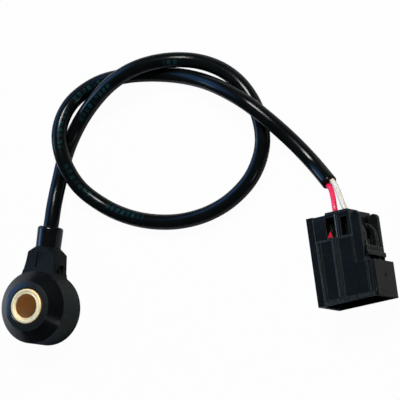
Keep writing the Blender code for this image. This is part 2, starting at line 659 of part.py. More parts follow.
def make_housing(frame, plastic):
    """Plug housing: core, hood, guard walls, latch, grooves, windows and cavities."""
    core = plug_block((0.0, CORE_WIDTH), (0.0, PLUG_LENGTH), (0.0, PLUG_HEIGHT), PLUG_EDGE)
    housing = add_object("connector_housing", core, frame, plastic)
    hood = plug_block((0.0, PLUG_WIDTH), (HOOD_START, PLUG_LENGTH), (0.0, PLUG_HEIGHT))
    side_edges = [edge for edge in hood.edges
                  if all(vert.co.x > PLUG_WIDTH / 2 for vert in edge.verts)
                  and abs(edge.verts[0].co.y - edge.verts[1].co.y) > CUT_PAST]
    bmesh.ops.bevel(hood, geom=side_edges, offset=HOOD_CORNER, segments=4, profile=0.5,
                    affect="EDGES", material=-1)
    add_plug_shape(housing, "shape_of_hood", hood, "UNION")
    add_guards(housing)
    past = CUT_PAST
    inside = plug_block((HOOD_WALL, PLUG_WIDTH - HOOD_WALL),
                        (HOOD_START + HOOD_REAR_WALL, PLUG_LENGTH + past),
                        (HOOD_WALL, PLUG_HEIGHT - HOOD_WALL))
    add_plug_shape(housing, "cut_for_hood", inside)
    deeper = plug_block((HOOD_WALL, CORE_WIDTH - HOOD_WALL),
                        (HOOD_FLOOR, HOOD_START + HOOD_REAR_WALL + past),
                        (HOOD_WALL, PLUG_HEIGHT - HOOD_WALL))
    add_plug_shape(housing, "cut_to_hood_floor", deeper)
    slot = plug_block((LATCH_OUTER - LATCH_THICKNESS - HOOK_HEIGHT, LATCH_OUTER + 2 * SEAT_GAP),
                      (HOOD_START - past, HOOD_START + HOOD_REAR_WALL + past),
                      (LATCH_LOW - SEAT_GAP, LATCH_HIGH + SEAT_GAP))
    add_plug_shape(housing, "slot_for_latch", slot)
    add_latch(housing)
    for number, (left, right) in enumerate(GROOVES):
        groove = plug_block((left, right), (FACE_STEP_AT, GROOVE_END),
                            (PLUG_HEIGHT - GROOVE_DEPTH, PLUG_HEIGHT + past))
        add_plug_shape(housing, "groove_%d" % number, groove)
    step = plug_block((FACE_STEP_LEFT, GUARD_GROOVE[0]), (-past, FACE_STEP_AT),
                      (PLUG_HEIGHT - FACE_STEP, PLUG_HEIGHT + past))
    add_plug_shape(housing, "step_of_face", step)
    guard_groove = plug_block(GUARD_GROOVE, (-past, HOOD_START),
                              (PLUG_HEIGHT - GROOVE_DEPTH, PLUG_HEIGHT + past))
    add_plug_shape(housing, "groove_by_guard", guard_groove)
    hood_groove = plug_block(HOOD_GROOVE, (HOOD_START - past, GROOVE_END),
                             (PLUG_HEIGHT - FACE_STEP, PLUG_HEIGHT + past))
    add_plug_shape(housing, "groove_on_hood", hood_groove)
    guard_step = plug_block((GUARD_GROOVE[1] - SEAT_GAP, PLUG_WIDTH), (-past, HOOD_START),
                            (PLUG_HEIGHT - FACE_STEP, PLUG_HEIGHT + past))
    add_plug_shape(housing, "step_of_guard", guard_step)
    half = CAVITY_WIDTH / 2
    for number, middle in enumerate(CAVITY_MIDDLES):
        tunnel = plug_block((middle - half, middle + half), (-past, CAVITY_DEPTH),
                            (CAVITY_LOW, CAVITY_HIGH))
        add_plug_shape(housing, "cavity_%d" % number, tunnel)
        blade = plug_block((middle - BLADE_WIDTH / 2 - SEAT_GAP,
                            middle + BLADE_WIDTH / 2 + SEAT_GAP),
                           (CAVITY_DEPTH - past, HOOD_FLOOR + past),
                           (blade_low() - SEAT_GAP, blade_low() + BLADE_THICKNESS + SEAT_GAP))
        add_plug_shape(housing, "blade_slot_%d" % number, blade)
        window = plug_block((middle - half + WINDOW_TRIM[number],
                             middle + half - WINDOW_TRIM[number]),
                            (WINDOW_FRONTS[number], WINDOW_BACK),
                            (CAVITY_HIGH - past, PLUG_HEIGHT + past))
        add_plug_shape(housing, "window_%d" % number, window)


def blade_low():
    """Underside of the terminal blades."""
    return CAVITY_LOW + SEAT_GAP + (TERMINAL_BODY_HEIGHT - BLADE_THICKNESS) / 2


def make_terminal(name, middle, frame, metal):
    """Blade terminal: crimp, locking body and blade in one sheet metal piece."""
    floor = CAVITY_LOW + SEAT_GAP
    wide = CAVITY_WIDTH / 2 - SEAT_GAP
    body = plug_block((middle - wide, middle + wide),
                      (TERMINAL_BODY_START, CAVITY_DEPTH - SEAT_GAP),
                      (floor, floor + TERMINAL_BODY_HEIGHT))
    terminal = add_object(name, body, frame, metal)
    narrow = TERMINAL_CRIMP_WIDTH / 2
    past = CUT_PAST
    crimp = plug_block((middle - narrow, middle + narrow),
                       (TERMINAL_CRIMP_START, TERMINAL_BODY_START + past),
                       (floor + CRIMP_LIFT, floor + CRIMP_LIFT + TERMINAL_CRIMP_HEIGHT))
    join_shape(terminal, add_object("crimp_of_" + name, crimp, frame), "UNION")
    blade = plug_block((middle - BLADE_WIDTH / 2, middle + BLADE_WIDTH / 2),
                       (CAVITY_DEPTH - past, BLADE_END), (blade_low(), blade_low() + BLADE_THICKNESS))
    join_shape(terminal, add_object("blade_of_" + name, blade, frame), "UNION")


def main():
    """Build the whole sensor."""
    clear_scene()
    black = (0.02, 0.022, 0.024)
    materials = {
        "head": make_material("head_plastic", black, 0.3),
        "plug": make_material("plug_plastic", black, 0.4),
        "cable": make_material("cable_jacket", (0.015, 0.016, 0.018), 0.25),
        "red_lead": make_material("red_insulation", (0.75, 0.02, 0.06), 0.4),
        "white_lead": make_material("white_insulation", (0.8, 0.8, 0.76), 0.4),
        "brass": make_material("brass", (0.85, 0.62, 0.3), 0.3, 1.0),
        "steel": make_material("steel", (0.55, 0.55, 0.57), 0.35, 1.0),
        "contact": make_material("contact_metal", (0.8, 0.72, 0.5), 0.3, 1.0),
        "terminal": make_material("terminal_metal", (0.75, 0.74, 0.72), 0.3, 1.0),
        "piezo": make_material("piezo_ceramic", (0.75, 0.72, 0.62), 0.5),
        "insulator": make_material("insulating_film", (0.7, 0.45, 0.12), 0.5),
    }
    sensor = make_frame("sensor_frame", 0.0, BORE_AXIS_Y)
    plug = make_frame("plug_frame", *PLUG_AT, PLUG_TURN)
    table = make_frame("table_frame", 0.0, 0.0)
    make_mounting_bush(sensor, materials["brass"])
    make_stack(sensor, materials)
    make_sensor_overmould(sensor, materials["head"])
    make_leads(sensor, materials)
    cable = cable_path()
    tube("cable_jacket", cable, CABLE_RADIUS, table, materials["cable"])
    tube("red_wire", wire_path(cable, 1, RED_WIRE_ROUTE), WIRE_RADIUS, plug,
         materials["red_lead"])
    tube("white_wire", wire_path(cable, -1, WHITE_WIRE_ROUTE), WIRE_RADIUS, plug,
         materials["white_lead"])
    make_housing(plug, materials["plug"])
    make_terminal("red_terminal", CAVITY_MIDDLES[0], plug, materials["terminal"])
    make_terminal("white_terminal", CAVITY_MIDDLES[1], plug, materials["terminal"])


main()
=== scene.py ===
"""Looks of the engine knock sensor: its head, its knotted cable and its plug.

Lengths are in metres and the frame is the part's own: +Z up, the table at z = 0, the neck along
+Y, and the origin in the middle of the sensor's underside.
"""

import math

import bmesh
import bpy
from mathutils import Matrix, Vector
from mathutils.noise import noise as noise_value


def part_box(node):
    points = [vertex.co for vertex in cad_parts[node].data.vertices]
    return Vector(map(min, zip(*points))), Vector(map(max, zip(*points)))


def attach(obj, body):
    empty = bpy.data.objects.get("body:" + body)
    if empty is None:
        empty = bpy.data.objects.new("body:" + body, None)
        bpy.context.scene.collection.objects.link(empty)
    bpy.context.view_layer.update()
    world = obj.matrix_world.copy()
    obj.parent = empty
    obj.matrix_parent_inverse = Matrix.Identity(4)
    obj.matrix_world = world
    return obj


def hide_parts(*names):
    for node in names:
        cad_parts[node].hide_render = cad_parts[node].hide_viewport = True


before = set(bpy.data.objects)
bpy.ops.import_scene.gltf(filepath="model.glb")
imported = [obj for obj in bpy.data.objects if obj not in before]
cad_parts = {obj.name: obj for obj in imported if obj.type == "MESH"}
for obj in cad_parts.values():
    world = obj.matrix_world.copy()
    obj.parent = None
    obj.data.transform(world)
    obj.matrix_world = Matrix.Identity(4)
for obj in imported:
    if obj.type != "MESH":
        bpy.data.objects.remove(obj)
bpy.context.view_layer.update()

MM = 0.001

# Places that come from the frame
BUSH_LOW, BUSH_HIGH = (Vector(corner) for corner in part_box("mounting_bush"))
BORE_Y = (BUSH_LOW.y + BUSH_HIGH.y) / 2

# Camera, in the direction and at the distance that the photograph shows
CAMERA_RIGHT = Vector((0.86414, 0.12172, -0.48831))
CAMERA_UP = Vector((-0.08949, 0.99201, 0.08890))
CAMERA_BACK = Vector((0.49523, -0.03313, 0.86813))
CAMERA_PLACE = Vector((1037.61, -28.48, 1719.12)) * MM
CAMERA_LENS = 494.8
CAMERA_SENSOR = 36.0

# Table and light: how much of the table glows for the camera, the point that the lamps look at,
# and the middle of the sky's cool patch
TABLE_HALF = 3.0
TABLE_GAP = 0.05 * MM
TABLE_GLOW = 0.97
LAMP_AIM = Vector((0.06, 0.03, 0.0))
COOL_SKY = (-0.85, 0.25, 0.46)

# Cable and wires
CABLE_RADIUS = 2.8 * MM
CABLE_SIDES = 32
CABLE_STEP = 1.6 * MM
CABLE_EXIT = Vector((0.0, 21.55, 6.6)) * MM
CABLE_START = Vector((0.0, 13.25, 6.6)) * MM
CABLE_CORE_RADIUS = 2.1 * MM
CABLE_CORE_DEPTH = 0.9 * MM
CABLE_EDGE = 0.18 * MM
WIRE_RADIUS = 0.96 * MM
WIRE_SPACING = 2.3 * MM
WIRE_SIDES = 20
WIRE_STEP = 0.5 * MM

# Dashes on the jacket: each row's first and last place along the cable in millimetres, and the
# pitch and the share of it that is printed
DASH_ROWS = ((27, 41), (50, 71), (93, 99), (210, 227), (231, 250), (256, 272), (276, 290))
DASH_PITCH = 2.3 * MM
DASH_SHARE = 0.62

# Route of the cable after the boot, in millimetres, as the part has it
CABLE_ROUTE = [
    (0.0, 24.4, 6.4), (-0.4, 29.6, 5.5), (-0.7, 38.2, 3.6), (0.5, 49.4, 2.9),
    (4.4, 59.9, 3.2), (11.2, 68.8, 5.6), (19.6, 76.1, 8.4), (29.1, 82.0, 8.9),
    (39.5, 85.7, 6.7), (50.4, 86.7, 3.7), (61.4, 84.3, 2.9), (71.0, 78.5, 2.9),
    (78.2, 69.5, 2.9), (81.3, 58.8, 2.9), (78.9, 47.9, 2.9), (72.0, 38.9, 2.9),
    (62.8, 32.6, 2.9), (52.0, 28.8, 2.9), (40.7, 27.5, 2.9), (29.4, 28.4, 2.9),
    (18.7, 31.6, 3.6), (9.3, 37.4, 6.2), (3.0, 46.5, 8.9), (-0.2, 56.8, 8.6),
    (1.4, 67.0, 5.5), (9.4, 75.0, 3.0), (20.6, 78.9, 2.9), (31.9, 80.6, 2.9),
    (43.4, 80.9, 3.0), (54.3, 79.8, 4.9), (65.1, 77.3, 7.9), (75.9, 73.2, 9.1),
    (85.6, 67.5, 7.5), (94.5, 61.0, 4.7), (103.1, 54.2, 3.5), (111.9, 47.7, 5.8),
]

# Plug: corner of its wire end on the table, and the way that it is turned
PLUG_AT = Vector((109.6, 33.6, 0.0)) * MM
PLUG_TURN = math.radians(17.0)
TO_PLUG = Matrix.Translation(PLUG_AT) @ Matrix.Rotation(PLUG_TURN, 4, "Z")

# Head, in millimetres from the bore's axis and from the table
BORE_RADIUS = 4.2
BUSH_RADIUS = 6.4
BUSH_TOP = 17.2
FLANGE_RADIUS = 11.0
FLANGE_TOP = 2.2
CAVITY_RADIUS = 11.3
CAVITY_TOP = 11.3
NUT_CAVITY_RADIUS = 9.5
CEILING = 15.1
HEAD_RADIUS = 13.2
HEAD_BASE = 0.4
SHOULDER = 12.5
HEAD_TOP = 16.6
HEAD_EDGE = 0.35
TOP_RING_RADIUS = 9.0
BUSH_EDGE = 0.3
BUSH_PLAY = 0.3
BUSH_HOLE_RADIUS = BUSH_RADIUS + BUSH_PLAY
TURNED_STEPS = 144

# Points of the head's profile that break its edges at the shoulder and below the top ring
SHOULDER_BREAK = ((HEAD_RADIUS, SHOULDER - 0.12), (HEAD_RADIUS - 0.1, SHOULDER + 0.08))
TOP_RING_BREAK = ((TOP_RING_RADIUS + 0.08, HEAD_TOP - 0.2), (TOP_RING_RADIUS, HEAD_TOP - 0.11))

# The top ring's rise above HEAD_TOP, and the steps below BUSH_TOP, at each radius
RING_RISE = ((8.7, -0.025), (8.3, 0.085), (7.9, 0.185), (7.5, 0.27), (7.1, 0.34), (6.84, 0.37),
             (6.74, 0.32), (BUSH_HOLE_RADIUS, 0.15))
BUSH_STEPS = ((5.7, 0.0), (5.66, 0.04), (5.62, 0.0), (5.1, 0.0), (5.06, 0.03), (5.02, 0.0),
              (4.62, 0.0), (4.45, 0.08), (BORE_RADIUS, 0.42))

# Burrs on the bore's lip: where they are, how fine, and how rough on the left and elsewhere
BURR_REACH = 4.7
BURR_DEPTH = 0.5
BURR_DENSITY = 2.1
BURR_LEFT_SIDE = -1.5
BURR_LEFT = 0.034
BURR_ELSEWHERE = 0.014

# Square neck and round boot, in millimetres. The neck's root and tip are a width and a height,
# and the boot's swell is a radius and its place along the neck
NECK_HEIGHT = 6.6
NECK_ROOT = (12.6, 10.0)
NECK_TIP = (10.8, 9.4)
NECK_END = 22.2
NECK_FILLET = 3.0
NECK_SINK = 0.2
NECK_INNER_RADIUS = 12.2
NECK_BLANK_HALF = 9.0
NECK_RAMP = 0.5
NECK_RAMP_END = 16.2
NECK_RAMP_SIDE = 8.2
NECK_RAMP_FADE = 1.9
NECK_EDGE = 0.5
NECK_CONE_RADIUS = 17.2
NECK_CONE_LENGTH = 10.6
BOOT_RADIUS = 4.6
BOOT_SWELL = (4.68, 27.2)
BOOT_END = 29.9
BOOT_EDGE = 1.1
BOOT_END_RADIUS = 3.6
CABLE_HOLE = 3.05
CABLE_HOLE_START = 19.3
CABLE_HOLE_MOUTH = 3.3

# Recesses of the neck in millimetres, each between two opposite corners
NECK_TOP = NECK_HEIGHT + 4.75
LEAD_CHANNEL = ((-3.4, 10.5, 2.6), (3.4, 20.3, 10.0))
TOP_SLOT = ((-1.6, 14.6, NECK_TOP - 0.4), (-0.75, 20.3, NECK_TOP + 0.9))
TOP_POCKET = ((-0.8, 17.3, NECK_TOP - 0.25), (0.5, 19.8, NECK_TOP + 0.9))
SIDE_FRAME = ((4.8, 12.9, 4.2), (6.38, 16.7, 9.6))
SIDE_FRAME_EDGE = 0.12
SIDE_RECESS = ((5.4, 13.3, 4.7), (8.0, 16.2, 9.1))
SIDE_STEP = ((5.0, 13.2, 4.6), (5.9, 14.8, 6.9))

# Plug, in millimetres across from its left side, back from its wire end and up from the table
PLUG_WIDTH = 24.0
PLUG_LENGTH = 32.0
PLUG_HEIGHT = 16.2
CORE_WIDTH = 17.4
HOOD_START = 19.0
HOOD_WALL = 1.6
HOOD_BACK = 18.4
HOOD_EDGE = 0.4
ENTRY_EDGE = 0.2
FUNNEL_EDGE = 0.4
GUARD_REACH = 20.9
GUARD_ROOT = 15.6
GUARD_END = 19.8
GUARD_EAR = 1.7
GUARD_EAR_BACK = 2.5
GUARD_STEP = 3.3
GUARD_WIDTH = 1.8
GUARD_INSET = 0.03
FINE_EDGE = 0.09

# Long corners of the plug's body: place across, whether it is the upper one, and its rounding
BODY_CORNERS = ((0.0, True, 0.3), (0.0, False, 0.3), (PLUG_WIDTH, False, 0.4))

# Angle between two faces from which their edge is softened
SHARP_ANGLE = math.radians(28)

# Lever of the plug's latch
LATCH_OUTER = 20.7
LATCH_SIDES = (2.4, 13.8)
LEVER_START = 4.2
LEVER_BEND = 5.0
LEVER_THICKNESS = 1.5
LEVER_ROOT = 1.5
LEVER_END = 24.0
LEG_WIDTH = 2.4
CROSS_PLATE = (12.9, 17.1)
PLATE_RISE = 0.7
PLATE_RAMP = ((0.5, 0.3), (PLATE_RISE, 0.8))
HOOK_START = 22.4
HOOK_DEPTH = 1.1
HOOK_LENGTH = 0.8
GRIPS = (13.75, 14.35)
GRIP_WIDTH = 0.3
GRIP_ACROSS = (21.1, 21.62)
GRIP_UP = (4.4, 11.8)
POST_INSET = 1.5
POST_WIDTH = 0.8
POST_ACROSS = (20.2, 21.5)
POST_BACK = (11.4, 15.7)
SMALL_EDGE = 0.1
THUMB_BAR_EDGE = 0.35
GUARD_SLOT = ((19.2, 21.2), (14.8, 17.7))
GUARD_SLOT_INSET = 0.9

# Boxes of the plug, each as its ranges across, back and up
ENTRY_BLOCK = ((7.5, 16.5), (-0.65, 1.0), (7.2, 15.66))
LATCH_OPENING = ((18.1, 21.3), (18.0, 21.6), (2.1, 14.1))
THUMB_BAR = ((19.95, 22.2), (15.4, 17.1), (1.2, 14.4))

# Upper face of the plug. A groove is its left edge, its floor's and its own right edge, and its
# depth; a rib is its two sides; the entry's slope and the lip are (back, rise over the face)
# points, and the chamfer is (across, rise over the face) points
LEFT_STRIP = (-1.0, 2.6, 2.85, 0.22)
RIB_GROOVES = ((3.55, 4.05, 4.6, 0.55), (9.55, 9.95, 10.5, 0.55), (10.95, 11.3, 11.75, 0.5))
GUARD_GROOVE = (16.95, 17.3, 17.7, 0.6)
HOOD_GROOVE = (21.1, 21.4, 21.9, 0.4)
RIB_GROOVE_BACK = (9.0, 30.2)
GUARD_GROOVE_BACK = (-1.2, HOOD_START + 0.05)
GUARD_GROOVE_LEAN = 0.1
HOOD_GROOVE_BACK = (HOOD_START - 1, 30.4)
RIBS = ((2.72, 3.5), (8.8, 9.5))
RIB_BACK = (9.2, 29.9)
RIB_HEIGHT = 0.22
RIB_ROOT = 0.3
RIB_SLOPES = (0.3, 0.12)
POCKET_LEFT = 2.6
POCKET_WIDTH = 14.52
POCKET_DEPTH = 0.45
POCKET_END = 8.95
POCKET_SLOPE = 0.55
ENTRY_SLOPE = ((-1.4, 0.8), (-1.4, -2.2), (2.0, -0.4), (2.0, 0.8))
ENTRY_SLOPE_LEFT = 2.75
ENTRY_SLOPE_WIDTH = 4.6
GUARD_FACE = 17.42
GUARD_FACE_DEPTH = 0.35
CHAMFER = ((22.35, 0.15), (24.15, -1.65), (25.0, -1.65), (25.0, 0.15))
CHAMFER_START = PLUG_LENGTH - 1.1
REBATE = 23.1
REBATE_DEPTH = 1.3
REBATE_END = PLUG_LENGTH - 1.0
LIP = ((29.9, 0.6), (29.9, 0.06), (32.3, -0.36), (32.3, 0.6))

# Wire cavities. A hollow is its half width and its ranges back and up; a window is its left, its
# right and its front; a bar is its middle and its radius
CAVITY_MIDDLES = (9.5, 14.3)
CAVITY = (1.6, (-2.0, 16.6), (8.6, 13.2))
FUNNEL = (1.85, (-2.3, 0.35), (8.2, 13.6))
BLADE_SLOT = (1.05, (15.6, 19.4), (9.5, 10.9))
WINDOWS = ((7.3, 10.95, 1.3), (13.2, 15.95, 1.9))
WINDOW_END = 8.5
WINDOW_FLOOR = 12.2
LANCE = ((-0.9, 13.6), (-1.2, 13.6), (-2.0, 12.7), (-7.6, 12.1), (-7.6, 11.35), (-0.9, 12.0))
LANCE_WIDTH = 2.0
WINDOW_BARS = ((11.65, 0.6), (12.85, 0.42))
BAR_DEPTH = 0.85
BAR_BACK = (0.6, 8.95)

# Faces of the plug with a painted highlight: the flank between its windows, and the rim in front
FLANK_ACROSS = (11.12, 11.46)
FLANK_BACK = (1.2, 8.8)
FLANK_DEPTH = 0.85
FLANK_PAINTED_HIGHLIGHT = 3.0
RIM_START = 30.3
RIM_DEPTH = 0.5
RIM_PAINTED_HIGHLIGHT = 0.5

# Gate mark on the hood's side: its place back and up, and its (radius, rise) profile
GATE_MARK = (24.3, 7.6)
GATE_PROFILE = ((0.75, -0.3), (0.75, 0.14), (0.62, 0.14), (0.55, -0.05), (0.2, -0.05),
                (0.16, 0.14))

# Red lock tab: its corners across and back and their depths, its thickness and its edge
LOCK_TAB = ((8.5, -6.0, 1.5), (7.38, -8.45, 0.9), (9.5, -8.45, 0.9))
LOCK_TAB_THICKNESS = 0.5
LOCK_TAB_EDGE = 0.1

# Skew line that a shape's corners are sorted along
SORTING_LINE = Vector((0.5771, 0.3137, 0.7539))

TO_HEAD = Matrix.Translation((0.0, BORE_Y, 0.0)) @ Matrix.Scale(MM, 4)
TO_PLUG_MM = TO_PLUG @ Matrix.Scale(MM, 4)

# Routes of the wires in the plug's frame, in millimetres: across, back from the wire end, up
RED_WIRE_ROUTE = [(7.2, -10.2, 7.3), (8.6, -6.6, 9.3), (9.5, -2.4, 11.0), (9.6, 0.6, 10.5),
                  (9.5, 3.4, 10.25), (9.5, 7.0, 10.2)]
WHITE_WIRE_ROUTE = [(9.4, -10.6, 7.4), (11.4, -6.6, 9.5), (13.1, -2.4, 11.0), (14.2, 0.6, 10.5),
                    (14.3, 3.4, 10.25), (14.3, 7.0, 10.2)]


def smooth_path(points, spacing):
    """Points read from a smooth curve through the route, at an even spacing."""
    padded = [2 * points[0] - points[1]] + points + [2 * points[-1] - points[-2]]
    dense = []
    steps = 24
    for before, start, end, after in zip(padded, padded[1:], padded[2:], padded[3:]):
        for step in range(steps):
            t = step / steps
            dense.append(0.5 * (2 * start + (end - before) * t
                                + (2 * before - 5 * start + 4 * end - after) * t * t
                                + (3 * start - before - 3 * end + after) * t * t * t))
    dense.append(points[-1])
    total = sum((b - a).length for a, b in zip(dense, dense[1:]))
    count = max(2, round(total / spacing))
    path = [dense[0]]
    walked = 0.0
    for a, b in zip(dense, dense[1:]):
        length = (b - a).length
        while len(path) < count and walked + length >= total * len(path) / count:
            share = (total * len(path) / count - walked) / length
            path.append(a.lerp(b, share))
        walked += length
    path.append(dense[-1])
    return path


def path_frames(path):
    """A frame at each point whose Z runs along the path and whose X stays up without twisting."""
    frames = []
    up = Vector((0.0, 0.0, 1.0))
    for number, point in enumerate(path):
        before = path[max(number - 1, 0)]
        after = path[min(number + 1, len(path) - 1)]
        ahead = (after - before).normalized()
        up = (up - ahead * up.dot(ahead)).normalized()
        side = ahead.cross(up)
        turn = Matrix((up, side, ahead)).transposed().to_4x4()
        frames.append(Matrix.Translation(point) @ turn)
    return frames


def tube(stations, sides):
    """Extrude a ring from station to station. A station is a frame, a radius and a length."""
    bm = bmesh.new()
    lay = bm.verts.layers.float_vector.new("lay")
    place, radius, length = stations[0]
    ring = bmesh.ops.create_circle(bm, segments=sides, radius=radius, matrix=place)["verts"]
    bmesh.ops.contextual_create(bm, geom=ring)
    edges = [edge for edge in bm.edges if all(vert in ring for vert in edge.verts)]
    for vert in ring:
        across = place.inverted() @ vert.co
        vert[lay] = Vector((across.x / radius, across.y / radius, length))
    for next_place, next_radius, next_length in stations[1:]:
        grown = bmesh.ops.extrude_edge_only(bm, edges=edges)["geom"]
        ring = [item for item in grown if isinstance(item, bmesh.types.BMVert)]
        edges = [item for item in grown if isinstance(item, bmesh.types.BMEdge)
                 and all(vert in ring for vert in item.verts)]
        widen = Matrix.Diagonal((next_radius / radius, next_radius / radius, 1.0, 1.0))
        bmesh.ops.transform(bm, matrix=next_place @ widen @ place.inverted(), verts=ring)
        for vert in ring:
            across = next_place.inverted() @ vert.co
            vert[lay] = Vector((across.x / next_radius, across.y / next_radius, next_length))
        place = next_place
        radius = next_radius
    bmesh.ops.contextual_create(bm, geom=edges)
    bmesh.ops.recalc_face_normals(bm, faces=bm.faces)
    return bm


def block(low, high, edge=0.0):
    """A box between two corners, with its edges rounded if asked."""
    bm = bmesh.new()
    bmesh.ops.create_cube(bm, size=1.0)
    low = Vector(low)
    high = Vector(high)
    bmesh.ops.scale(bm, vec=high - low, verts=bm.verts)
    bmesh.ops.translate(bm, vec=(low + high) / 2, verts=bm.verts)
    if edge:
        bmesh.ops.bevel(bm, geom=bm.edges, offset=edge, segments=3, profile=0.5,
                        affect="EDGES", material=-1)
    return bm


def prism(outline, reach):
    """Extrude a closed outline of points by a vector."""
    bm = bmesh.new()
    face = bm.faces.new([bm.verts.new(point) for point in outline])
    grown = bmesh.ops.extrude_face_region(bm, geom=[face])["geom"]
    moved = [item for item in grown if isinstance(item, bmesh.types.BMVert)]
    bmesh.ops.translate(bm, vec=reach, verts=moved)
    bmesh.ops.recalc_face_normals(bm, faces=bm.faces)
    return bm


def plate(outline, low, high):
    """Extrude an outline of (x, y) points from one height to another."""
    return prism([(x, y, low) for x, y in outline], (0, 0, high - low))


def turned(profile, steps, closed=True):
    """Spin a profile of (radius, height) points round Z; an open one gets flat ends."""
    bm = bmesh.new()
    corners = [bm.verts.new((radius, 0.0, height)) for radius, height in profile]
    pairs = zip(corners, corners[1:] + corners[:1]) if closed else zip(corners, corners[1:])
    edges = [bm.edges.new(pair) for pair in pairs]
    bmesh.ops.spin(bm, geom=corners + edges, cent=(0, 0, 0), axis=(0, 0, 1), angle=math.tau,
                   steps=steps, use_merge=True)
    if not closed:
        bmesh.ops.holes_fill(bm, edges=bm.edges, sides=0)
    bmesh.ops.recalc_face_normals(bm, faces=bm.faces)
    return bm


def arc(middle, radius, start, end, steps):
    """Points on an arc in a plane."""
    turns = [start + (end - start) * step / steps for step in range(steps + 1)]
    return [(middle[0] + radius * math.cos(turn), middle[1] + radius * math.sin(turn))
            for turn in turns]


def blank(name, bm):
    """A helper object that other shapes are cut from or added to."""
    mesh = bpy.data.meshes.new(name)
    bm.to_mesh(mesh)
    bm.free()
    item = bpy.data.objects.new(name, mesh)
    bpy.context.collection.objects.link(item)
    return item


def shape(target, bm, operation="DIFFERENCE"):
    """Cut a shape from a blank, or add it."""
    helper = blank("helper", bm)
    modifier = target.modifiers.new("shape", "BOOLEAN")
    modifier.operation = operation
    modifier.solver = "EXACT"
    modifier.object = helper


def put_in_order(bm):
    """Sort a shape's elements by their places, because a boolean's order differs each run."""
    bm.verts.sort(key=lambda vert: vert.co.dot(SORTING_LINE))
    bm.edges.sort(key=lambda edge: (edge.verts[0].co + edge.verts[1].co).dot(SORTING_LINE))
    bm.faces.sort(key=lambda face: face.calc_center_median().dot(SORTING_LINE))


def settled(target):
    """Work out a blank's shape as one clean bmesh, and remove the blank and its helpers."""
    graph = bpy.context.evaluated_depsgraph_get()
    mesh = bpy.data.meshes.new_from_object(target.evaluated_get(graph))
    bm = bmesh.new()
    bm.from_mesh(mesh)
    bpy.data.meshes.remove(mesh)
    for modifier in list(target.modifiers):
        bpy.data.objects.remove(modifier.object, do_unlink=True)
    bpy.data.objects.remove(target, do_unlink=True)
    put_in_order(bm)
    bmesh.ops.remove_doubles(bm, verts=bm.verts, dist=0.002)
    put_in_order(bm)
    return bm


def soften(bm, width):
    """Round off the sharp edges of a shape by a small width, and note the rounded faces."""
    bmesh.ops.triangulate(bm, faces=bm.faces[:], quad_method="BEAUTY", ngon_method="BEAUTY")
    wear_and_highlight = bm.faces.layers.float.new("wear_and_highlight")
    sharp = [edge for edge in bm.edges if len(edge.link_faces) == 2
             and edge.calc_face_angle(0.0) > SHARP_ANGLE
             and edge.calc_length() > 2.2 * width]
    made = bmesh.ops.bevel(bm, geom=sharp, offset=width, segments=2, profile=0.5,
                           affect="EDGES", material=-1, clamp_overlap=False)
    for face in made["faces"]:
        face[wear_and_highlight] = 1.0
    wide = [face for face in bm.faces if len(face.verts) > 4]
    bmesh.ops.triangulate(bm, faces=wide, quad_method="BEAUTY", ngon_method="BEAUTY")


def node(tree, kind, **values):
    """Add a shader node; values that match its sockets are set there, the others on the node."""
    item = tree.nodes.new(kind)
    for name, value in values.items():
        socket = name.replace("_", " ").title()
        if socket in item.inputs:
            item.inputs[socket].default_value = value
        else:
            setattr(item, name, value)
    return item


def new_material(name, roughness=0.4, metallic=0.0):
    """A material, its tree and its Principled shader."""
    material = bpy.data.materials.new(name)
    material.use_nodes = True
    tree = material.node_tree
    shader = tree.nodes["Principled BSDF"]
    shader.inputs["Roughness"].default_value = roughness
    shader.inputs["Metallic"].default_value = metallic
    return material, tree, shader


def noise(tree, size, detail=3.0, stretch=(1.0, 1.0, 1.0)):
    """Noise on object coordinates, with features of about the given size."""
    place = node(tree, "ShaderNodeTexCoord")
    mapping = node(tree, "ShaderNodeMapping")
    mapping.inputs["Scale"].default_value = stretch
    texture = node(tree, "ShaderNodeTexNoise", scale=1.0 / size, detail=detail)
    tree.links.new(place.outputs["Object"], mapping.inputs["Vector"])
    tree.links.new(mapping.outputs["Vector"], texture.inputs["Vector"])
    return texture.outputs["Fac"]


def spread(tree, source, low, high, start=0.3, end=0.7):
    """Map a factor to a range of values."""
    item = node(tree, "ShaderNodeMapRange")
    item.inputs["From Min"].default_value = start
    item.inputs["From Max"].default_value = end
    item.inputs["To Min"].default_value = low
    item.inputs["To Max"].default_value = high
    tree.links.new(source, item.inputs["Value"])
    return item.outputs["Result"]


def blend_colours(tree, factor, first, second):
    """Blend two colours, either of which may be a socket."""
    item = node(tree, "ShaderNodeMix", data_type="RGBA")
    for number, colour in ((6, first), (7, second)):
        if isinstance(colour, bpy.types.NodeSocket):
            tree.links.new(colour, item.inputs[number])
        else:
            item.inputs[number].default_value = (*colour, 1.0)
    tree.links.new(factor, item.inputs[0])
    return item.outputs[2]


def emboss(tree, shader, height, depth, below=None):
    """Raise the surface by a height map."""
    bump = node(tree, "ShaderNodeBump")
    bump.inputs["Distance"].default_value = depth
    tree.links.new(height, bump.inputs["Height"])
    if below is not None:
        tree.links.new(below, bump.inputs["Normal"])
    tree.links.new(bump.outputs["Normal"], shader.inputs["Normal"])
    return bump.outputs["Normal"]


def centred(tree, keep=(1.0, 1.0, 1.0)):
    """Object coordinates in millimetres from the bore's axis, with each axis kept or flattened."""
    place = node(tree, "ShaderNodeTexCoord")
    mapping = node(tree, "ShaderNodeMapping")
    mapping.inputs["Location"].default_value = (0.0, -BORE_Y / MM * keep[1], 0.0)
    mapping.inputs["Scale"].default_value = [1.0 / MM * share for share in keep]
    tree.links.new(place.outputs["Object"], mapping.inputs["Vector"])
    return mapping.outputs["Vector"]


def radius_from_bore(tree):
    """Distance from the bore's axis in millimetres."""
    item = node(tree, "ShaderNodeVectorMath", operation="LENGTH")
    tree.links.new(centred(tree, (1.0, 1.0, 0.0)), item.inputs[0])
    return item.outputs["Value"]


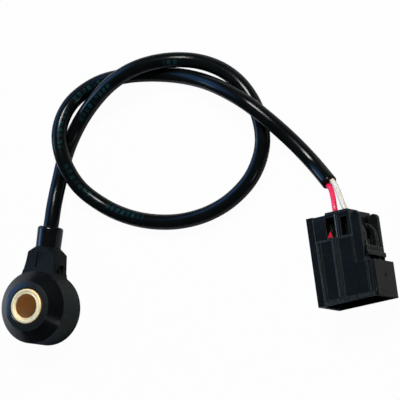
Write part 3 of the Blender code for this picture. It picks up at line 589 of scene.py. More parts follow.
def head_place(tree):
    """Millimetres across and along the neck from the bore's axis, and up from the table."""
    item = node(tree, "ShaderNodeSeparateXYZ")
    tree.links.new(centred(tree), item.inputs["Vector"])
    return item.outputs["X"], item.outputs["Y"], item.outputs["Z"]


def calculate(tree, operation, first, second=0.0):
    """One step of arithmetic on sockets or numbers."""
    item = node(tree, "ShaderNodeMath", operation=operation)
    for number, value in enumerate((first, second)):
        if isinstance(value, bpy.types.NodeSocket):
            tree.links.new(value, item.inputs[number])
        else:
            item.inputs[number].default_value = value
    return item.outputs[0]


def blend_values(tree, factor, first, second):
    """Blend two values, which are sockets or numbers."""
    item = node(tree, "ShaderNodeMix", data_type="FLOAT")
    for number, value in ((2, first), (3, second)):
        if isinstance(value, bpy.types.NodeSocket):
            tree.links.new(value, item.inputs[number])
        else:
            item.inputs[number].default_value = value
    tree.links.new(factor, item.inputs[0])
    return item.outputs[0]


def plug_finish():
    """Satin black plastic with cloudy gloss and fine grain; its rounded edges are a little paler,
    partly wear and partly painted highlight.
    """
    material, tree, shader = new_material("plug_black")
    shader.inputs["Specular IOR Level"].default_value = 0.17
    shader.inputs["IOR"].default_value = 1.42
    cloud = spread(tree, noise(tree, 5.0 * MM, detail=4.0), 0.0, 1.0)
    black = blend_colours(tree, cloud, (0.0016, 0.0026, 0.0026), (0.003, 0.0042, 0.0042))
    # Paler rounded edges in patches: partly wear, partly painted highlight
    wear_and_highlight = node(tree, "ShaderNodeAttribute", attribute_name="wear_and_highlight")
    patch = spread(tree, noise(tree, 0.9 * MM, detail=3.0), 0.25, 1.0, 0.35, 0.65)
    worn = calculate(tree, "MULTIPLY", wear_and_highlight.outputs["Fac"], patch)
    edge = blend_colours(tree, worn, black, (0.045, 0.052, 0.054))
    # Painted highlight on the flank between the windows
    painted_flank_highlight = spread(tree, wear_and_highlight.outputs["Fac"], 0.0, 1.0, 1.0, 3.0)
    tree.links.new(blend_colours(tree, painted_flank_highlight, edge, (0.1, 0.107, 0.11)),
                   shader.inputs["Base Color"])
    rough = spread(tree, noise(tree, 1.6 * MM), 0.32, 0.44)
    tree.links.new(blend_values(tree, worn, rough, 0.22), shader.inputs["Roughness"])
    swell = emboss(tree, shader, noise(tree, 3.5 * MM, detail=1.0), 0.02 * MM)
    emboss(tree, shader, noise(tree, 0.25 * MM, detail=2.0), 0.008 * MM, below=swell)
    return material


def head_finish():
    """Black plastic, polished on the cone and the top ring and grained on the wall and the neck;
    the wall's grain is painted lighter than the neck's, standing in for light.
    """
    material, tree, shader = new_material("head_black")
    shader.inputs["Specular IOR Level"].default_value = 0.14
    shader.inputs["IOR"].default_value = 1.42
    across, along, up = head_place(tree)
    boot = spread(tree, along, 0.0, 1.0, NECK_END + 0.1, NECK_END + 0.4)
    cone = spread(tree, up, 0.0, 1.0, SHOULDER - 0.12, SHOULDER)
    polished = calculate(tree, "MAXIMUM", cone, boot)
    cloud = spread(tree, noise(tree, 4.0 * MM, detail=4.0), 0.0, 1.0)
    grained = blend_colours(tree, cloud, (0.0022, 0.0038, 0.004), (0.004, 0.0062, 0.0065))
    # Painted light: the head's wall gets a lighter grey than the neck, standing in for light from
    # the front
    painted_lit_wall = blend_colours(tree, cloud, (0.0098, 0.0145, 0.0138), (0.0138, 0.0198, 0.019))
    wall = spread(tree, along, 1.0, 0.0, 7.0, 10.0)
    grained = blend_colours(tree, wall, grained, painted_lit_wall)
    deep = blend_colours(tree, cloud, (0.0014, 0.0018, 0.002), (0.0026, 0.003, 0.0034))
    satin = blend_colours(tree, cloud, (0.0065, 0.0085, 0.0088), (0.0095, 0.012, 0.0125))
    ring = spread(tree, up, 0.0, 1.0, HEAD_TOP - 0.22, HEAD_TOP - 0.14)
    deep = blend_colours(tree, ring, deep, satin)
    tree.links.new(blend_colours(tree, polished, grained, deep), shader.inputs["Base Color"])
    patch = noise(tree, 1.2 * MM)
    smooth = blend_values(tree, ring, spread(tree, patch, 0.2, 0.27),
                          spread(tree, patch, 0.34, 0.42))
    gloss = blend_values(tree, polished, spread(tree, patch, 0.5, 0.64), smooth)
    tree.links.new(calculate(tree, "MULTIPLY", polished, 0.35), shader.inputs["Coat Weight"])
    shader.inputs["Coat Roughness"].default_value = 0.15
    tree.links.new(gloss, shader.inputs["Roughness"])
    streak = node(tree, "ShaderNodeTexNoise", scale=2.2, detail=2.0)
    angle = calculate(tree, "ARCTAN2", along, across)
    round_cone = node(tree, "ShaderNodeCombineXYZ")
    tree.links.new(calculate(tree, "MULTIPLY", angle, 3.0), round_cone.inputs["X"])
    tree.links.new(round_cone.outputs["Vector"], streak.inputs["Vector"])
    radial = calculate(tree, "MULTIPLY", streak.outputs["Fac"], polished)
    swell = emboss(tree, shader, radial, 0.05 * MM)
    rough = calculate(tree, "SUBTRACT", 1.0, polished)
    grain = calculate(tree, "MULTIPLY", noise(tree, 0.28 * MM, detail=3.0), rough)
    emboss(tree, shader, grain, 0.022 * MM, below=swell)
    return material


def bush_finish():
    """Turned brass, satin and pale on its end, with painted shade in darker gold on its outer rim
    and its bore's lip, and a warmer tone inside the bore as painted reflection.
    """
    material, tree, shader = new_material("bush_brass", metallic=1.0)
    radius = radius_from_bore(tree)
    inside = spread(tree, radius, 1.0, 0.0, BORE_RADIUS + 0.04, BORE_RADIUS + 0.25)
    marks = noise(tree, 0.9 * MM, detail=4.0)
    pale = blend_colours(tree, spread(tree, marks, 0.0, 1.0), (0.99, 0.74, 0.39), (1.0, 0.88, 0.54))
    # Painted reflection: a warmer tone inside the bore
    bore_painted_reflection = blend_colours(tree, spread(tree, marks, 0.0, 1.0), (1.0, 0.68, 0.4), (1.0, 0.8, 0.52))
    # Painted shade: darker orange gold on the outer rim and the bore's lip
    rim = spread(tree, radius, 0.0, 1.0, BUSH_RADIUS - 0.35, BUSH_RADIUS - 0.15)
    lip = spread(tree, radius, 1.0, 0.0, BORE_RADIUS + 0.3, BORE_RADIUS + 0.52)
    pale = blend_colours(tree, calculate(tree, "MAXIMUM", rim, lip), pale, (0.98, 0.66, 0.28))
    tree.links.new(blend_colours(tree, inside, pale, bore_painted_reflection), shader.inputs["Base Color"])
    satin = spread(tree, marks, 0.5, 0.68)
    tree.links.new(blend_values(tree, inside, satin, 0.4), shader.inputs["Roughness"])
    ring = node(tree, "ShaderNodeTexNoise", scale=1.0, detail=3.0)
    lathe = node(tree, "ShaderNodeCombineXYZ")
    tree.links.new(calculate(tree, "MULTIPLY", radius, 14.0), lathe.inputs["X"])
    tree.links.new(calculate(tree, "MULTIPLY", head_place(tree)[2], 9.0), lathe.inputs["Y"])
    tree.links.new(lathe.outputs["Vector"], ring.inputs["Vector"])
    emboss(tree, shader, ring.outputs["Fac"], 0.02 * MM)
    return material


def insulation(name, dark, pale, specular=0.5):
    """Soft, slightly glossy insulation, such as a wire's covering, a film or a ceramic."""
    material, tree, shader = new_material(name)
    shader.inputs["Specular IOR Level"].default_value = specular
    shader.inputs["Subsurface Weight"].default_value = 0.05
    shader.inputs["Subsurface Radius"].default_value = (0.4 * MM, 0.3 * MM, 0.3 * MM)
    tone = blend_colours(tree, spread(tree, noise(tree, 1.5 * MM), 0.0, 1.0), dark, pale)
    tree.links.new(tone, shader.inputs["Base Color"])
    tree.links.new(spread(tree, noise(tree, 0.6 * MM), 0.28, 0.42), shader.inputs["Roughness"])
    emboss(tree, shader, noise(tree, 0.6 * MM, detail=1.0), 0.006 * MM)
    return material


def plain_metal(name, dark, pale, smooth, rough, grain):
    """Stamped or plated metal with faint rolling marks."""
    material, tree, shader = new_material(name, metallic=1.0)
    marks = noise(tree, grain, detail=4.0, stretch=(1.0, 6.0, 1.0))
    tone = blend_colours(tree, spread(tree, marks, 0.0, 1.0), dark, pale)
    tree.links.new(tone, shader.inputs["Base Color"])
    tree.links.new(spread(tree, marks, smooth, rough), shader.inputs["Roughness"])
    emboss(tree, shader, marks, 0.01 * MM)
    return material


def camera():
    """The photograph's camera."""
    data = bpy.data.cameras.new("camera")
    data.sensor_width = CAMERA_SENSOR
    data.lens = CAMERA_LENS
    data.clip_end = 10.0
    turn = Matrix((CAMERA_RIGHT, CAMERA_UP, CAMERA_BACK)).transposed().to_4x4()
    item = bpy.data.objects.new("camera", data)
    item.matrix_world = Matrix.Translation(CAMERA_PLACE) @ turn
    bpy.context.collection.objects.link(item)
    bpy.context.scene.camera = item


def add_piece(name, bm, material, smooth_angle=35.0, weighted=True):
    """Turn a bmesh into a finished piece that rides on the body."""
    mesh = bpy.data.meshes.new(name)
    bm.to_mesh(mesh)
    bm.free()
    mesh.shade_smooth()
    mesh.set_sharp_from_angle(angle=math.radians(smooth_angle))
    item = bpy.data.objects.new(name, mesh)
    bpy.context.collection.objects.link(item)
    if weighted:
        modifier = item.modifiers.new("weighted", "WEIGHTED_NORMAL")
        modifier.keep_sharp = True
        modifier.weight = 80
        graph = bpy.context.evaluated_depsgraph_get()
        item.data = bpy.data.meshes.new_from_object(item.evaluated_get(graph))
        item.data.name = name
        item.modifiers.clear()
    item.data.materials.append(material)
    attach(item, "root")
    return item


def cable_path(spacing):
    """Middle line of the cable, from inside the boot to its cut end."""
    route = [CABLE_START, CABLE_EXIT] + [Vector(point) * MM for point in CABLE_ROUTE]
    return [Vector((p.x, p.y, max(p.z, CABLE_RADIUS))) for p in smooth_path(route, spacing)]


def make_jacket(material):
    """The cable's jacket, cut square at the plug's end round its two wires."""
    path = cable_path(CABLE_STEP)
    frames = path_frames(path)
    stations = []
    length = 0.0
    for number, place in enumerate(frames):
        if number:
            length += (path[number] - path[number - 1]).length
        stations.append((place, CABLE_RADIUS, length))
    end = frames[-1]
    last = stations.pop()
    stations.append((end @ Matrix.Translation((0, 0, -CABLE_EDGE)), CABLE_RADIUS, last[2]))
    stations.append((end @ Matrix.Translation((0, 0, -CABLE_EDGE * 0.3)),
                     CABLE_RADIUS - CABLE_EDGE * 0.3, last[2]))
    stations.append((end, CABLE_RADIUS - CABLE_EDGE, last[2]))
    stations.append((end, CABLE_CORE_RADIUS, last[2]))
    sunk = end @ Matrix.Translation((0, 0, -CABLE_CORE_DEPTH))
    stations.append((sunk, CABLE_CORE_RADIUS - CABLE_EDGE * 0.5, last[2]))
    jacket = add_piece("jacket", tube(stations, CABLE_SIDES), material, 60.0, False)
    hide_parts("cable_jacket")
    return jacket, path


def make_wire(name, node_name, side, route, material):
    """One wire from inside the jacket's cut end into the plug."""
    cable = cable_path(CABLE_STEP)
    ahead = (cable[-1] - cable[-2]).normalized()
    across = ahead.cross(Vector((0, 0, 1))).normalized()
    middle = cable[-1] + across * side * WIRE_SPACING / 2
    inside = middle - ahead * CABLE_CORE_DEPTH * 0.9
    points = [inside, middle] + [TO_PLUG @ (Vector((x, -y, z)) * MM) for x, y, z in route]
    path = smooth_path(points, WIRE_STEP)
    stations = [(place, WIRE_RADIUS, number * WIRE_STEP)
                for number, place in enumerate(path_frames(path))]
    wire = add_piece(name, tube(stations, WIRE_SIDES), material, 60.0, False)
    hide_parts(node_name)
    return wire


def neck_outline():
    """Plan of the neck: tapered sides that run into the head with a fillet on each side."""
    root = NECK_ROOT[0] / 2
    tip = NECK_TIP[0] / 2
    reach = HEAD_RADIUS - NECK_SINK + NECK_FILLET
    middle = (root + NECK_FILLET, math.sqrt(reach ** 2 - (root + NECK_FILLET) ** 2))
    toward = math.tau + math.atan2(-middle[1], -middle[0])
    fillet = arc(middle, NECK_FILLET, math.pi, toward, 12)
    last = math.atan2(fillet[-1][1], fillet[-1][0])
    inside = arc((0, 0), NECK_INNER_RADIUS, last, math.pi - last, 24)
    right = [(tip, BOOT_END + 1), (tip, NECK_END)] + fillet
    return right + inside + [(-x, y) for x, y in reversed(right)]


def along_neck(bm):
    """Lay a turned shape down, so that its axis runs along the neck."""
    bmesh.ops.rotate(bm, cent=(0, 0, 0), matrix=Matrix.Rotation(-math.pi / 2, 3, "X"),
                     verts=bm.verts)
    bmesh.ops.translate(bm, vec=(0, 0, NECK_HEIGHT), verts=bm.verts)
    return bm


def make_neck():
    """Square neck that ends in a cone, with the round boot beyond it."""
    bm = plate(neck_outline(), NECK_HEIGHT - 5, NECK_HEIGHT + 5)
    for cut in (NECK_END, NECK_RAMP_END, HEAD_RADIUS):
        bmesh.ops.bisect_plane(bm, geom=bm.verts[:] + bm.edges[:] + bm.faces[:],
                               plane_co=(0, cut, 0), plane_no=(0, 1, 0))
    for vert in bm.verts:
        share = (vert.co.y - HEAD_RADIUS) / (NECK_END - HEAD_RADIUS)
        half = (NECK_ROOT[1] + (NECK_TIP[1] - NECK_ROOT[1]) * share) / 2
        if vert.co.y > BOOT_END:
            half = NECK_BLANK_HALF
        if vert.co.z > NECK_HEIGHT and vert.co.y < NECK_RAMP_END:
            climb = (NECK_RAMP_END - vert.co.y) / (NECK_RAMP_END - HEAD_RADIUS)
            flare = (NECK_RAMP_SIDE - abs(vert.co.x)) / NECK_RAMP_FADE
            flare = max(0.0, min(1.0, flare))
            half += NECK_RAMP * min(climb, 1.0) * flare
        vert.co.z = NECK_HEIGHT + math.copysign(half, vert.co.z - NECK_HEIGHT)
    # The four corners that run along the neck
    long_edges = [edge for edge in bm.edges
                  if abs(edge.verts[0].co.x - edge.verts[1].co.x) < 3.0
                  and abs(edge.verts[0].co.y - edge.verts[1].co.y) > 2.5]
    bmesh.ops.bevel(bm, geom=long_edges, offset=NECK_EDGE, segments=4, profile=0.5,
                    affect="EDGES", material=-1)
    neck = blank("neck", bm)
    profile = [(NECK_CONE_RADIUS, 0.0), (NECK_CONE_RADIUS, NECK_END - NECK_CONE_LENGTH),
               (BOOT_RADIUS, NECK_END), BOOT_SWELL]
    profile += arc((BOOT_END_RADIUS, BOOT_END - BOOT_EDGE), BOOT_EDGE, 0.0, math.pi / 2, 7)
    shape(neck, along_neck(turned(profile, 96, closed=False)), "INTERSECT")
    return settled(neck)


def make_head(material):
    """Moulded head with its open underside, the neck, the boot and the recesses."""
    profile = [(CAVITY_RADIUS, HEAD_BASE), (HEAD_RADIUS - HEAD_EDGE, HEAD_BASE)]
    profile += arc((HEAD_RADIUS - HEAD_EDGE, HEAD_BASE + HEAD_EDGE), HEAD_EDGE, -math.pi / 3,
                   0.0, 3)
    profile += [*SHOULDER_BREAK, *TOP_RING_BREAK]
    profile += [(radius, HEAD_TOP + rise) for radius, rise in RING_RISE]
    profile += [(BUSH_HOLE_RADIUS, CEILING), (NUT_CAVITY_RADIUS, CEILING),
                (NUT_CAVITY_RADIUS, CAVITY_TOP), (CAVITY_RADIUS, CAVITY_TOP)]
    head = blank("head", turned(profile, TURNED_STEPS))
    shape(head, make_neck(), "UNION")
    shape(head, block(*LEAD_CHANNEL))
    hole = [(CABLE_HOLE, CABLE_HOLE_START), (CABLE_HOLE, BOOT_END - 0.25),
            (CABLE_HOLE_MOUTH, BOOT_END), (CABLE_HOLE_MOUTH, BOOT_END + 1)]
    shape(head, along_neck(turned(hole, 64, closed=False)))
    shape(head, block(*TOP_SLOT))
    shape(head, block(*TOP_POCKET))
    shape(head, block(*SIDE_FRAME, SIDE_FRAME_EDGE), "UNION")
    shape(head, block(*SIDE_RECESS))
    shape(head, block(*SIDE_STEP), "UNION")
    bm = settled(head)
    bmesh.ops.transform(bm, matrix=TO_HEAD, verts=bm.verts)
    piece = add_piece("head_moulding", bm, material, 24.0)
    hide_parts("sensor_overmould")


def make_bush(material):
    """Turned bush with its flange, fine steps on its end and a slightly burred bore."""
    edge = BUSH_EDGE
    profile = [(BORE_RADIUS, edge), (BORE_RADIUS + edge, 0.0), (FLANGE_RADIUS - edge, 0.0)]
    profile += arc((FLANGE_RADIUS - edge, edge), edge, -math.pi / 3, 0.0, 3)
    profile += arc((FLANGE_RADIUS - edge, FLANGE_TOP - edge), edge, 0.0, math.pi / 2, 4)
    profile += [(BUSH_RADIUS, FLANGE_TOP)]
    profile += arc((BUSH_RADIUS - edge, BUSH_TOP - edge), edge, 0.0, math.pi / 2, 5)
    profile += [(radius, BUSH_TOP - depth) for radius, depth in BUSH_STEPS]
    bm = turned(profile, TURNED_STEPS)
    for vert in bm.verts:
        if vert.co.z > BUSH_TOP - BURR_DEPTH and vert.co.xy.length < BURR_REACH:
            place = Vector((vert.co.x * BURR_DENSITY, vert.co.y * BURR_DENSITY, 0.0))
            burr = noise_value(place)
            height = BURR_LEFT if vert.co.x < BURR_LEFT_SIDE else BURR_ELSEWHERE
            vert.co.xy *= 1.0 + height * burr
    bmesh.ops.transform(bm, matrix=TO_HEAD, verts=bm.verts)
    piece = add_piece("turned_bush", bm, material, 40.0)
    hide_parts("mounting_bush")


def plug_box(across, back, up, edge=0.0):
    """A box in the plug's frame from its ranges across, back from the wire end, and up."""
    return block((across[0], -back[1], up[0]), (across[1], -back[0], up[1]), edge)


def plug_strip(section, back):
    """A strip along the plug with a section of (across, up) points."""
    return prism([(x, -back[0], z) for x, z in section], (0, back[0] - back[1], 0))


def groove(left, floor, right, depth, back, lean=0.0):
    """A groove along the plug's upper face, with a sloping right side."""
    top = PLUG_HEIGHT
    return plug_strip([(left, top + 1), (left + lean, top - depth), (floor, top - depth),
                       (right, top + 0.1), (right, top + 1)], back)


def hollow(middle, half_width, back, up, edge=0.0):
    """A box cut about a wire's middle."""
    return plug_box((middle - half_width, middle + half_width), back, up, edge)


def lever_arch(outer, start, reach):
    """Quarter of an ellipse from the core's side to the lever's straight run."""
    turns = [math.pi / 2 * step / 12 for step in range(13)]
    return [(CORE_WIDTH + (outer - CORE_WIDTH) * math.sin(turn),
             -start - reach * (1 - math.cos(turn))) for turn in turns]


def lever_profile():
    """Side view of the lever: it leaves the core in an arch and then runs straight back."""
    outer = LATCH_OUTER
    inner = outer - LEVER_THICKNESS
    root = CORE_WIDTH - LEVER_ROOT
    under = LEVER_START + LEVER_THICKNESS
    outside = lever_arch(outer, LEVER_START, LEVER_BEND)
    inside = lever_arch(inner, under, LEVER_BEND - LEVER_THICKNESS)
    first, last = CROSS_PLATE
    raised = [(outer, -first)] + [(outer + rise, -first - run) for rise, run in PLATE_RAMP]
    raised += [(outer + PLATE_RISE, -last), (outer, -last), (outer, -LEVER_END)]
    hook = [(inner - HOOK_DEPTH, -HOOK_START - HOOK_LENGTH), (inner - HOOK_DEPTH, -HOOK_START),
            (inner, -HOOK_START)]
    return ([(root, -LEVER_START)] + outside + raised + [(inner, -LEVER_END)] + hook
            + list(reversed(inside)) + [(root, -under)])


def add_lever(housing):
    """The flexing lever: two arched legs, a cross plate, a thumb bar and a hook under the hood."""
    low, high = LATCH_SIDES
    first, last = CROSS_PLATE
    lever = blank("lever", plate(lever_profile(), low, high))
    for back in ((0.0, first), (last, HOOK_START)):
        between = plug_box((CORE_WIDTH, PLUG_WIDTH), back, (low + LEG_WIDTH, high - LEG_WIDTH))
        shape(lever, between)
    shape(housing, settled(lever), "UNION")
    shape(housing, plug_box(*THUMB_BAR, THUMB_BAR_EDGE), "UNION")
    for grip in GRIPS:
        bar = plug_box(GRIP_ACROSS, (grip, grip + GRIP_WIDTH), GRIP_UP, SMALL_EDGE)
        shape(housing, bar, "UNION")
    for post in (low + POST_INSET, high - POST_INSET - POST_WIDTH):
        upright = plug_box(POST_ACROSS, POST_BACK, (post, post + POST_WIDTH), SMALL_EDGE)
        shape(housing, upright, "UNION")
    for up in ((GUARD_SLOT_INSET, low), (high, PLUG_HEIGHT - GUARD_SLOT_INSET)):
        shape(housing, plug_box(*GUARD_SLOT, up))


def housing_body():
    """The L-shaped plate of the core and the hood, with three long corners rounded."""
    body = plate([(0.0, 0.0), (CORE_WIDTH, 0.0), (CORE_WIDTH, -HOOD_START),
                  (PLUG_WIDTH, -HOOD_START), (PLUG_WIDTH, -PLUG_LENGTH), (0.0, -PLUG_LENGTH)],
                 0.0, PLUG_HEIGHT)
    for across, upper, width in BODY_CORNERS:
        corner = [edge for edge in body.edges
                  if all(abs(vert.co.x - across) < 0.01
                         and (vert.co.z > PLUG_HEIGHT / 2) == upper for vert in edge.verts)]
        bmesh.ops.bevel(body, geom=corner, offset=width, segments=3, profile=0.5,
                        affect="EDGES", material=-1)
    return blank("housing", body)


def add_guards(housing):
    """Two guard walls beside the lever, each with a rounded ear."""
    ear = GUARD_EAR
    rim = arc((GUARD_REACH - ear, -GUARD_EAR_BACK), ear, 0.0, math.pi, 18)
    rim += [(GUARD_REACH - 2 * ear, -GUARD_STEP), (GUARD_ROOT, -GUARD_STEP),
            (GUARD_ROOT, -GUARD_END), (GUARD_REACH, -GUARD_END)]
    far = PLUG_HEIGHT - GUARD_INSET
    for low, high in ((GUARD_INSET, GUARD_INSET + GUARD_WIDTH), (far - GUARD_WIDTH, far)):
        shape(housing, plate(rim, low, high), "UNION")


def cut_hood(housing):
    """The hood's hollow, open at the mating end, and the latch's opening in its back."""
    wall = HOOD_WALL
    step = HOOD_START + wall
    inside = plate([(wall, -HOOD_BACK), (CORE_WIDTH - wall, -HOOD_BACK),
                    (CORE_WIDTH - wall, -step), (PLUG_WIDTH - wall, -step),
                    (PLUG_WIDTH - wall, -PLUG_LENGTH - 1), (wall, -PLUG_LENGTH - 1)],
                   wall, PLUG_HEIGHT - wall)
    long_edges = [edge for edge in inside.edges
                  if abs(edge.verts[0].co.y - edge.verts[1].co.y) > 5]
    bmesh.ops.bevel(inside, geom=long_edges, offset=HOOD_EDGE, segments=3, profile=0.5,
                    affect="EDGES", material=-1)
    shape(housing, inside)
    shape(housing, plug_box(*LATCH_OPENING))


def dress_upper_face(housing):
    """The strip, the pocket, the grooves and the ribs of the upper face, and its edges' cuts."""
    top = PLUG_HEIGHT
    shape(housing, groove(*LEFT_STRIP, (-1, PLUG_LENGTH + 1)))
    pocket = [(1.5, top + 1), (1.5, top - POCKET_DEPTH), (-POCKET_END, top - POCKET_DEPTH),
              (-POCKET_END - POCKET_SLOPE, top + 0.1), (-POCKET_END - POCKET_SLOPE, top + 1)]
    shape(housing, prism([(POCKET_LEFT, y, z) for y, z in pocket], (POCKET_WIDTH, 0, 0)))
    slope = [(ENTRY_SLOPE_LEFT, -back, top + rise) for back, rise in ENTRY_SLOPE]
    shape(housing, prism(slope, (ENTRY_SLOPE_WIDTH, 0, 0)))
    for rib_groove in RIB_GROOVES:
        shape(housing, groove(*rib_groove, RIB_GROOVE_BACK))
    for left, right in RIBS:
        section = [(left, top - RIB_ROOT), (left + RIB_SLOPES[0], top + RIB_HEIGHT),
                   (right - RIB_SLOPES[1], top + RIB_HEIGHT), (right, top - RIB_ROOT)]
        shape(housing, plug_strip(section, RIB_BACK), "UNION")
    shape(housing, groove(*GUARD_GROOVE, GUARD_GROOVE_BACK, GUARD_GROOVE_LEAN))
    shape(housing, plug_box((GUARD_FACE, PLUG_WIDTH + 1), (-1, HOOD_START + 0.02),
                            (top - GUARD_FACE_DEPTH, top + 0.9)))
    shape(housing, groove(*HOOD_GROOVE, HOOD_GROOVE_BACK))

    chamfer = [(across, top + rise) for across, rise in CHAMFER]
    shape(housing, plug_strip(chamfer, (CHAMFER_START, PLUG_LENGTH + 1)))
    shape(housing, plug_box((REBATE, PLUG_WIDTH + 1), (HOOD_START - 1, REBATE_END),
                            (top - REBATE_DEPTH, top + 1)))
    lip = [(-1.0, -back, top + rise) for back, rise in LIP]
    shape(housing, prism(lip, (PLUG_WIDTH + 2, 0, 0)))


def cut_cavities(housing):
    """The wires' cavities with their funnels, windows and lances, and the bars between them."""
    top = PLUG_HEIGHT
    for middle, (left, right, front) in zip(CAVITY_MIDDLES, WINDOWS):
        shape(housing, hollow(middle, *CAVITY))
        shape(housing, hollow(middle, *FUNNEL, FUNNEL_EDGE))
        shape(housing, hollow(middle, *BLADE_SLOT))
        shape(housing, plug_box((left, right), (front, WINDOW_END), (WINDOW_FLOOR, top + 1)))
        lance = [(middle - LANCE_WIDTH / 2, y, z) for y, z in LANCE]
        shape(housing, prism(lance, (LANCE_WIDTH, 0, 0)), "UNION")
    for middle, radius in WINDOW_BARS:
        bar = arc((middle, top - BAR_DEPTH), radius, 0.0, math.pi, 12)
        shape(housing, plug_strip(bar, BAR_BACK), "UNION")


def add_gate_mark(housing):
    """The round mark that the mould's gate leaves on the hood's side."""
    back, up = GATE_MARK
    mark = turned(GATE_PROFILE, 24, closed=False)
    bmesh.ops.rotate(mark, cent=(0, 0, 0), matrix=Matrix.Rotation(math.pi / 2, 3, "Y"),
                     verts=mark.verts)
    bmesh.ops.translate(mark, vec=(PLUG_WIDTH, -back, up), verts=mark.verts)
    shape(housing, mark, "UNION")


def note_painted_highlights(bm):
    """Note the painted highlights on the flank between the windows and on the rim in front, beside
    the rounded edges.
    """
    top = PLUG_HEIGHT
    wear_and_highlight = bm.faces.layers.float["wear_and_highlight"]
    for face in bm.faces:
        across, forward, up = face.calc_center_median()
        back = -forward
        on_flank = (FLANK_ACROSS[0] < across < FLANK_ACROSS[1]
                    and FLANK_BACK[0] < back < FLANK_BACK[1])
        # Painted highlights: strong on the flank, faint on the rim in front
        if on_flank and up > top - FLANK_DEPTH:
            face[wear_and_highlight] = FLANK_PAINTED_HIGHLIGHT
        if back > RIM_START and up > top - RIM_DEPTH:
            face[wear_and_highlight] = max(face[wear_and_highlight], RIM_PAINTED_HIGHLIGHT)


def make_housing(material):
    """Plug housing: core, hood, guard walls, latch, ribs, windows and cavities."""
    housing = housing_body()
    add_guards(housing)
    shape(housing, plug_box(*ENTRY_BLOCK, ENTRY_EDGE), "UNION")
    cut_hood(housing)
    add_lever(housing)
    dress_upper_face(housing)
    cut_cavities(housing)
    add_gate_mark(housing)
    bm = settled(housing)
    soften(bm, FINE_EDGE)
    note_painted_highlights(bm)
    bmesh.ops.transform(bm, matrix=TO_PLUG_MM, verts=bm.verts)
    piece = add_piece("plug_housing", bm, material, 40.0)
    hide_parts("connector_housing")
    return piece


def make_lock_tab(material):
    """Red wedge that keeps the first terminal in place, seen at the end of its window."""
    bm = prism([(x, y, PLUG_HEIGHT - depth) for x, y, depth in LOCK_TAB],
               (0, 0, LOCK_TAB_THICKNESS))
    bmesh.ops.bevel(bm, geom=bm.edges, offset=LOCK_TAB_EDGE, segments=2, profile=0.5,
                    affect="EDGES", material=-1)
    bmesh.ops.transform(bm, matrix=TO_PLUG_MM, verts=bm.verts)
    return add_piece("lock_tab", bm, material, 30.0)


def jacket_finish():
    """Glossy black jacket with faint drawing lines and worn rows of plain dashes."""
    material, tree, shader = new_material("jacket_black")
    shader.inputs["Specular IOR Level"].default_value = 0.15
    lay = node(tree, "ShaderNodeAttribute", attribute_name="lay")
    split = node(tree, "ShaderNodeSeparateXYZ")
    tree.links.new(lay.outputs["Vector"], split.inputs["Vector"])
    around_up, around_side, along = (split.outputs[axis] for axis in "XYZ")
    dash = calculate(tree, "FRACT", calculate(tree, "DIVIDE", along, DASH_PITCH))
    dash = calculate(tree, "LESS_THAN", dash, DASH_SHARE)
    row = 0.0
    for first, last in DASH_ROWS:
        away = calculate(tree, "SUBTRACT", along, (first + last) / 2 * MM)
        away = calculate(tree, "ABSOLUTE", away)
        near = calculate(tree, "LESS_THAN", away, (last - first) / 2 * MM)
        row = calculate(tree, "ADD", near, row)
    band = calculate(tree, "ABSOLUTE", calculate(tree, "ADD", around_side, -0.4))
    band = calculate(tree, "LESS_THAN", band, 0.3)
    top = calculate(tree, "GREATER_THAN", around_up, 0.0)
    mark = calculate(tree, "MULTIPLY", calculate(tree, "MULTIPLY", dash, row),
                     calculate(tree, "MULTIPLY", band, top))
    worn = spread(tree, noise(tree, 2.2 * MM, detail=5.0), 0.15, 1.0, 0.4, 0.62)
    black = blend_colours(tree, spread(tree, noise(tree, 5.0 * MM), 0.0, 1.0),
                          (0.0014, 0.002, 0.002), (0.003, 0.004, 0.004))
    colour = blend_colours(tree, calculate(tree, "MULTIPLY", mark, worn), black,
                           (0.004, 0.03, 0.036))
    tree.links.new(colour, shader.inputs["Base Color"])
    scaled = node(tree, "ShaderNodeVectorMath", operation="MULTIPLY")
    scaled.inputs[1].default_value = (7.0, 7.0, 90.0)
    tree.links.new(lay.outputs["Vector"], scaled.inputs[0])
    stretched = node(tree, "ShaderNodeTexNoise", scale=1.0, detail=3.0)
    tree.links.new(scaled.outputs[0], stretched.inputs["Vector"])
    drawn = stretched.outputs["Fac"]
    tree.links.new(spread(tree, drawn, 0.13, 0.22), shader.inputs["Roughness"])
    swell = emboss(tree, shader, drawn, 0.03 * MM)
    emboss(tree, shader, noise(tree, 0.5 * MM, detail=2.0), 0.0015 * MM, below=swell)
    return material


def finish_inner_nodes(red, white):
    """Give each node that stays as the part has it a finish of its own."""
    steel = plain_metal("ring_steel", (0.42, 0.42, 0.44), (0.6, 0.6, 0.62), 0.28, 0.42, 0.5 * MM)
    contact = plain_metal("contact_sheet", (0.7, 0.62, 0.42), (0.84, 0.76, 0.55), 0.2, 0.34,
                          0.4 * MM)
    tin = plain_metal("tinned_sheet", (0.6, 0.6, 0.58), (0.78, 0.77, 0.74), 0.22, 0.36, 0.3 * MM)
    ceramic = insulation("piezo_ceramic", (0.6, 0.57, 0.48), (0.78, 0.74, 0.64))
    film = insulation("insulating_film", (0.5, 0.3, 0.07), (0.7, 0.45, 0.14))
    finishes = {
        "seismic_mass": steel, "disc_spring": steel, "ring_nut": steel,
        "lower_contact_disc": contact, "upper_contact_disc": contact, "red_terminal": tin,
        "white_terminal": tin, "piezo_ring": ceramic, "insulating_sleeve": film,
        "lower_insulator": film, "upper_insulator": film, "red_lead": red, "white_lead": white,
    }
    for name, material in finishes.items():
        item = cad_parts[name]
        item.data.materials.clear()
        item.data.materials.append(material)


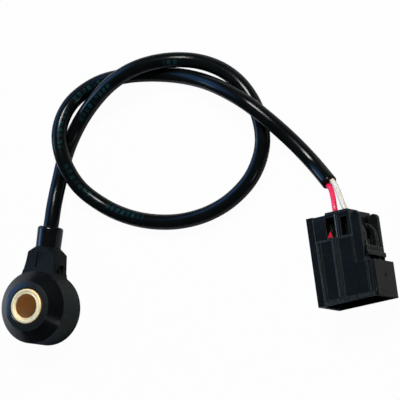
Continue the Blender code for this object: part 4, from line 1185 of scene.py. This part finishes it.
def make_floor():
    """White table under the object, which keeps a light shadow."""
    bm = bmesh.new()
    bmesh.ops.create_grid(bm, x_segments=1, y_segments=1, size=TABLE_HALF)
    bmesh.ops.translate(bm, vec=(0, 0, -TABLE_GAP), verts=bm.verts)
    mesh = bpy.data.meshes.new("table")
    bm.to_mesh(mesh)
    bm.free()
    floor = bpy.data.objects.new("table", mesh)
    bpy.context.collection.objects.link(floor)
    material, tree, shader = new_material("table_white", roughness=0.9)
    shader.inputs["Base Color"].default_value = (0.5, 0.5, 0.5, 1.0)
    shader.inputs["Specular IOR Level"].default_value = 0.0
    glow = node(tree, "ShaderNodeEmission", strength=1.0)
    ray = node(tree, "ShaderNodeLightPath")
    mix = node(tree, "ShaderNodeMixShader")
    share = calculate(tree, "MULTIPLY", ray.outputs["Is Camera Ray"], TABLE_GLOW)
    tree.links.new(share, mix.inputs[0])
    tree.links.new(shader.outputs[0], mix.inputs[1])
    tree.links.new(glow.outputs[0], mix.inputs[2])
    tree.links.new(mix.outputs[0], tree.nodes["Material Output"].inputs["Surface"])
    mesh.materials.append(material)


def area_light(name, direction, distance, size, power, colour):
    """A soft square lamp that looks at the object from one side."""
    data = bpy.data.lights.new(name, "AREA")
    data.shape = "SQUARE"
    data.size = size
    data.energy = power
    data.color = colour
    item = bpy.data.objects.new(name, data)
    toward = Vector(direction).normalized()
    item.location = LAMP_AIM + toward * distance
    item.rotation_euler = toward.to_track_quat("Z", "Y").to_euler()
    bpy.context.collection.objects.link(item)


def make_light():
    """Soft studio light: a dim sky with a cool patch on the left, and three lamps."""
    scene = bpy.context.scene
    world = bpy.data.worlds.new("studio")
    scene.world = world
    world.use_nodes = True
    tree = world.node_tree
    place = node(tree, "ShaderNodeTexCoord")
    toward = node(tree, "ShaderNodeVectorMath", operation="DOT_PRODUCT")
    toward.inputs[1].default_value = COOL_SKY
    tree.links.new(place.outputs["Generated"], toward.inputs[0])
    cool = spread(tree, toward.outputs["Value"], 0.0, 1.0, 0.88, 0.99)
    colour = blend_colours(tree, cool, (0.06, 0.068, 0.08), (0.6, 1.6, 3.8))
    background = tree.nodes["Background"]
    tree.links.new(colour, background.inputs["Color"])
    background.inputs["Strength"].default_value = 1.0
    area_light("main_lamp", (0.08, 0.6, 0.8), distance=1.25, size=0.34, power=19.0,
               colour=(1.0, 0.985, 0.96))
    area_light("left_lamp", (-0.93, -0.05, 0.36), distance=1.3, size=0.3, power=1.4,
               colour=(0.55, 0.78, 1.0))
    area_light("right_lamp", (0.72, -0.5, 0.4), distance=1.4, size=0.25, power=1.0,
               colour=(0.9, 1.0, 1.0))
    scene.view_settings.view_transform = "Standard"


camera()
jacket, jacket_path = make_jacket(jacket_finish())
red_finish = insulation("red_insulation", (0.62, 0.008, 0.05), (0.82, 0.02, 0.09))
white_finish = insulation("white_insulation", (0.55, 0.52, 0.43), (0.66, 0.63, 0.53))
red_wire = make_wire("red_insulated_wire", "red_wire", 1, RED_WIRE_ROUTE, red_finish)
white_wire = make_wire("white_insulated_wire", "white_wire", -1, WHITE_WIRE_ROUTE, white_finish)
plug = make_housing(plug_finish())
tab_finish = insulation("tab_red", (0.36, 0.004, 0.006), (0.5, 0.007, 0.01), specular=0.15)
lock_tab = make_lock_tab(tab_finish)
make_head(head_finish())
make_bush(bush_finish())
finish_inner_nodes(red_finish, white_finish)
make_floor()
make_light()
